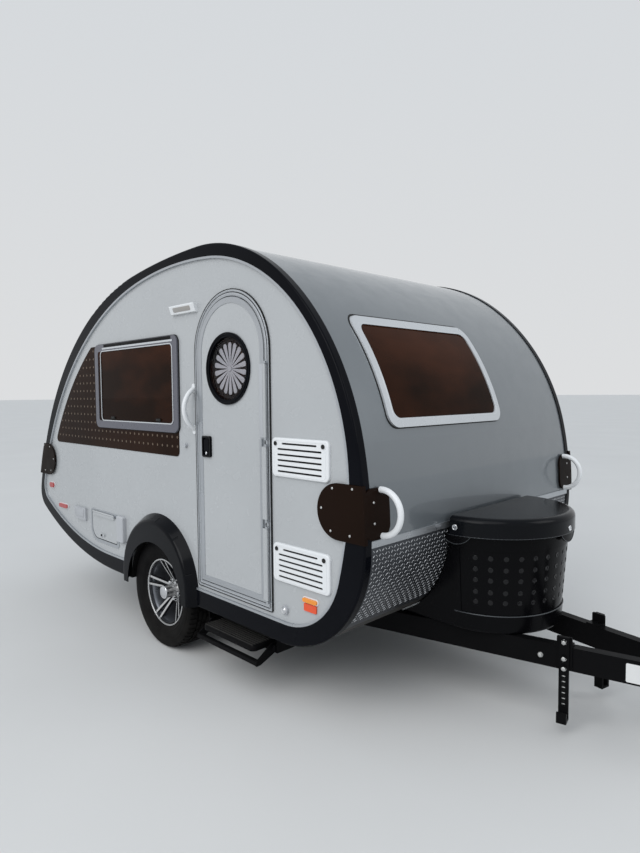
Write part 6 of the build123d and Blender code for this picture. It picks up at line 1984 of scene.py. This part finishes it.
@dataclass
class DoorLines:
    """Gasket, ridges, a painted shadow line and hinge strips round the door, and the porch lamp's lens."""

    x: float = 0.280
    half_width: float = 0.3205
    low: float = 0.490
    high: float = 2.104
    foot_corner: float = 0.012
    bands: tuple[tuple[str, tuple[tuple[float, ...], ...], str, str], ...] = (
        ("door_gasket", ((-0.004, 0.005, -0.9997, 0.0098),), "gasket_rubber", "black_satin"),
        ("door_ridges", ((0.0035, 0.0022, -1.0078, 0.0017), (0.0195, 0.0022, -1.0078, 0.0017)),
         "window_silver", "satin_aluminium"),
        # Flat dark strip between the ridges: painted shadow of the gap in the door frame.
        ("door_groove", ((0.0118, 0.0045, -1.0046, 0.001),), "slot_black", "black_satin"),
    )
    upper_strip: Flat = Flat((0.5475, -1.0177, 1.530), (0.026, 0.356), 0.002, 0.0016)
    lower_strip: Flat = Flat((0.5405, -1.0177, 0.945), (0.014, 0.80), 0.002, 0.0014)
    lens_at: Point = (-0.137, -1.0262, 2.045)
    lens_normal: Point = (0.0, -0.941, -0.339)
    lens: tuple[float, float] = (0.176, 0.027)

    def build(self, fitter: Fitter) -> None:
        """Make and fit the lines.

        Args:
            fitter: dresses and mounts the pieces.
        """
        for name, bands, finish, slot in self.bands:
            fitter.fit(joined([self.arch(*band) for band in bands], name), finish)
        fitter.fit(self.upper_strip.build("door_hinge_strip"), "service_grey", "door")
        fitter.fit(self.lower_strip.build("door_hinge_edge"), "satin_aluminium", "door")
        self.make_lens(fitter)

    def arch(self, inset: float, band: float, back: float, thick: float) -> bpy.types.Object:
        """Band that follows the door frame: straight legs, square foot and a round top.

        Args:
            inset: how far inside the frame's outside it runs.
            band: width of the band.
            back: y of its back.
            thick: how far it stands off.

        Returns:
            The band.
        """
        low, high = self.low + inset, self.high - inset
        shaper = arch_plane("door_band", self.x, back, (low, high), self.half_width - inset, 28)
        shaper.verts(lambda at: at.z < low + 0.001).round_corners(self.foot_corner, 5)
        return shaper.hollow(band).thicken(thick).finish(min(band, thick) * 0.3)

    def make_lens(self, fitter: Fitter) -> None:
        """Sloping lens of the porch lamp.

        Args:
            fitter: dresses and mounts the pieces.
        """
        shaper = Shaper("plane", "porch_lens", size=1, scale=(*self.lens, 1)).round_corners(0.008, 5)
        lens = shaper.thicken(0.0016).finish(0.0006)
        out = Vector(self.lens_normal)
        along = Vector((1, 0, 0))
        rotation = Matrix((along, out.cross(along), out)).transposed().to_4x4()
        lens = lay_out(lens, [Matrix.Translation(self.lens_at) @ rotation], "porch_lens")
        fitter.fit(lens, "lens_porch")


@dataclass
class FrontWindow:
    """Gasket and lines of the curved front window."""

    y: float = -0.280
    z: float = 1.673
    width: float = 0.990
    height: float = 0.530
    corner: float = 0.060
    start_x: float = 1.6
    rings: tuple[tuple[str, str, tuple[float, ...], str, str], ...] = (
        ("front_window_gasket", "body_shell", (0.007, 0.0075, 0.0065, 0.0095), "gasket_rubber", "black_satin"),
        ("front_window_line", "window_frames", (-0.020, 0.0035, 0.0016, 0.004), "gasket_rubber", "black_satin"),
        ("front_window_inner_line", "window_frames", (-0.034, 0.004, 0.0022, 0.004),
         "window_silver", "window_frame"),
    )

    def build(self, fitter: Fitter) -> None:
        """Make and fit the lines.

        Args:
            fitter: dresses and mounts the pieces.
        """
        for name, node, measures, finish, slot in self.rings:
            fitter.fit(self.ring(name, fitter.nodes[node], *measures), finish)

    def ring(self, name: str, node: bpy.types.Object, grow: float, band: float, thick: float,
             sink: float) -> bpy.types.Object:
        """Thin rounded ring laid on the curved front.

        Args:
            name: the piece's name.
            node: what it lies on.
            grow: how much larger it is than the window on each side.
            band: width of the ring.
            thick: how far it stands off.
            sink: how deep its own thickness starts under the surface.

        Returns:
            The ring.
        """
        size = (self.height + 2 * grow, self.width + 2 * grow, 1)
        shaper = Shaper("plane", name, (1.3, self.y, self.z), Axis.X.value, size=1, scale=size)
        shaper.round_corners(self.corner + grow, 8).hollow(band)
        for step in range(-12, 13):
            shaper.bisect((0, 0, self.z + step * 0.022), (0, 0, 1))

        def laid(corner: Vector) -> Vector:
            """Place of a corner on the curved front."""
            at, normal = touch(node, (self.start_x, corner.y, corner.z), (-1, 0, 0))
            return at + normal * (thick - sink)

        shaper.remap(laid)
        bpy.ops.mesh.select_all(action="SELECT")
        bpy.ops.mesh.normals_make_consistent(inside=False)
        shaper.modifier("SOLIDIFY", thickness=sink, offset=0)
        return shaper.finish(0.0008)


@dataclass
class Cushions:
    """Crowned cushions with welts over the beds and the benches, in place of the plain slabs."""

    slabs: tuple[tuple[str, Point, Point], ...] = (
        ("bed_cushion", (-2.080, -0.953, 0.800), (-0.712, -0.006, 0.895)),
        ("bench_cushion", (-0.700, -0.953, 0.800), (-0.080, -0.492, 0.895)),
    )
    slack: float = 0.014
    corner: float = 0.030
    voxel: float = 0.0125
    pressure: float = 4.0
    frames: int = 20
    cap: float = 0.0145
    welt: float = 0.0035
    welt_heights: tuple[float, ...] = (0.8155, 0.8765)

    def build(self, fitter: Fitter) -> None:
        """Make the right cushions and mirror them.

        Args:
            fitter: dresses and mounts the pieces.
        """
        for name, low, high in self.slabs:
            pad = self.make_pad(f"{name}_right", Vector(low), Vector(high))
            welts = [self.make_welt(pad, height) for height in self.welt_heights]
            pad = joined([pad, *welts], f"{name}_right")
            for piece in (pad, mirrored(pad, f"{name}_left")):
                fitter.fit(piece, "cushion_cloth")
                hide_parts("mattress")

    def make_pad(self, name: str, low: Vector, high: Vector) -> bpy.types.Object:
        """Swell a rounded block inside its slab.

        Args:
            name: the piece's name.
            low: lowest corner of the slab.
            high: highest corner of the slab.

        Returns:
            The pad.
        """
        size = high - low - Vector((1, 1, 1)) * 2 * self.slack
        shaper = Shaper("cube", name, tuple((low + high) / 2), size=1, scale=tuple(size))
        shaper.edges(lambda a, b: abs(a.z - b.z) > 0.01).bevel(self.corner, 5)
        shaper.modifier("BEVEL", width=0.010, segments=3, limit_method="ANGLE")
        shaper.modifier("REMESH", mode="VOXEL", voxel_size=self.voxel)
        pad = shaper.done(60)
        self.swell(pad, low, high)
        return Shaper.reopened(pad).modifier("SUBSURF", levels=1, render_levels=1).done(60)

    def swell(self, pad: bpy.types.Object, low: Vector, high: Vector) -> None:
        """Blow the pad up by cloth under pressure, with its movement limited.

        Args:
            pad: the block to swell.
            low: lowest corner it may reach.
            high: highest corner it may reach.
        """
        starts = [vert.co.copy() for vert in pad.data.vertices]
        cloth = pad.modifiers.new("swell", "CLOTH")
        cloth.settings.use_pressure = True
        cloth.settings.uniform_pressure_force = self.pressure
        cloth.settings.effector_weights.gravity = 0.0
        cloth.point_cache.frame_start, cloth.point_cache.frame_end = 1, self.frames
        for frame in range(1, self.frames + 1):
            bpy.context.scene.frame_set(frame)
        bpy.ops.object.modifier_apply(modifier=cloth.name)
        bpy.context.scene.frame_set(1)
        for vert, start in zip(pad.data.vertices, starts):
            step = vert.co - start
            length = max(step.length, 1e-9)
            place = start + step * (self.cap * math.tanh(length / self.cap) / length)
            vert.co = [min(max(p, a), b) for p, a, b in zip(place, low, high)]
        pad.data.update()

    def make_welt(self, pad: bpy.types.Object, height: float) -> bpy.types.Object:
        """Piping round a pad at a height.

        Args:
            pad: the finished pad.
            height: height of the seam.

        Returns:
            The piping.
        """
        bpy.ops.object.select_all(action="DESELECT")
        welt = pad.copy()
        welt.data = pad.data.copy()
        welt.name = welt.data.name = "cushion_welt"
        bpy.context.scene.collection.objects.link(welt)
        welt.select_set(True)
        bpy.context.view_layer.objects.active = welt
        bpy.ops.object.mode_set(mode="EDIT")
        bpy.ops.mesh.select_all(action="SELECT")
        bpy.ops.mesh.bisect(plane_co=(0, 0, height), plane_no=(0, 0, 1), clear_inner=True, clear_outer=True)
        bpy.ops.object.mode_set(mode="OBJECT")
        bpy.ops.object.convert(target="CURVE")
        bpy.context.object.data.bevel_depth = self.welt
        bpy.context.object.data.bevel_resolution = 1
        bpy.ops.object.convert(target="MESH")
        bpy.ops.object.shade_smooth_by_angle(angle=math.radians(60))
        return bpy.context.object


ASSEMBLIES = (Wheels, Rims, CheckerPlate, Tub, Vents, Porthole, SkinPanels, SideWindows, WallFittings,
              Lamps, Step, Tongue, DoorLines, FrontWindow, ArchShadeBands, Cushions)


@dataclass
class CarriedNodes:
    """Finishes of the frame's own pieces that show as they are."""

    finishes: dict[str, str] = field(default_factory=lambda: {
        "body_shell": "shell_gelcoat", "side_wall_right": "wall_gelcoat", "side_wall_left": "wall_gelcoat",
        "front_checker_plate": "plate_aluminium", "edge_bands": "band_black", "trim_strips": "satin_aluminium",
        "fenders": "fender_black", "opening_frames": "satin_aluminium", "window_frames": "window_grey",
        "window_panes": "tinted_pane", "skin_panels": "skin_dark", "vents_and_porch_lamp": "white_moulding",
        "corner_guards": "guard_brown", "grab_handles": "white_moulding", "service_fittings": "service_grey",
        "red_lamps": "lens_red", "amber_lamps": "lens_amber", "roof_vent_frame": "white_moulding",
        "roof_vent_lid": "white_moulding", "tub_body": "tub_black", "tub_lid": "lid_black",
        "tub_load": "load_grey", "cabin_cabinets": "cabinet_wood", "galley_counter": "worktop",
        "sink_and_faucet": "chrome", "cabin_modules": "cabin_panel", "mattress": "cushion_cloth",
        "floor_pan": "floor_vinyl", "door_leaf": "wall_gelcoat", "door_fittings": "band_black",
        "door_edge_trim": "satin_aluminium", "porthole_pane": "clear_pane", "hatch_lid": "wall_gelcoat",
        "jack_tube": "frame_paint", "jack_leg": "zinc", "step_tray": "frame_paint",
        "stabiliser_right": "frame_paint", "stabiliser_left": "frame_paint", "chassis_frame": "frame_paint",
        "torsion_axle": "axle_paint", "coupler": "frame_paint", "chassis_brackets": "frame_paint",
        "tyre_right": "tyre_rubber", "tyre_left": "tyre_rubber", "rim_right": "machined_alloy",
        "rim_left": "machined_alloy",
    })

    def dress(self, nodes: dict[str, bpy.types.Object], palette: Palette) -> None:
        """Give every frame node its finish.

        Args:
            nodes: the frame's nodes by name.
            palette: the finishes.
        """
        for name, node in nodes.items():
            palette.dress(node, self.finishes[name])


def main() -> None:
    """Load the frame, dress it piece by piece and light it."""
    logging.basicConfig(level=logging.INFO, format="%(message)s")
    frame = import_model()
    nodes = frame["nodes"]
    palette = Palette()
    fitter = Fitter(nodes, palette)
    Studio().build()
    CarriedNodes().dress(nodes, palette)
    LOG.info("carried nodes: %d", len(nodes))
    for assembly in ASSEMBLIES:
        assembly().build(fitter)


if __name__ == "__main__":
    main()
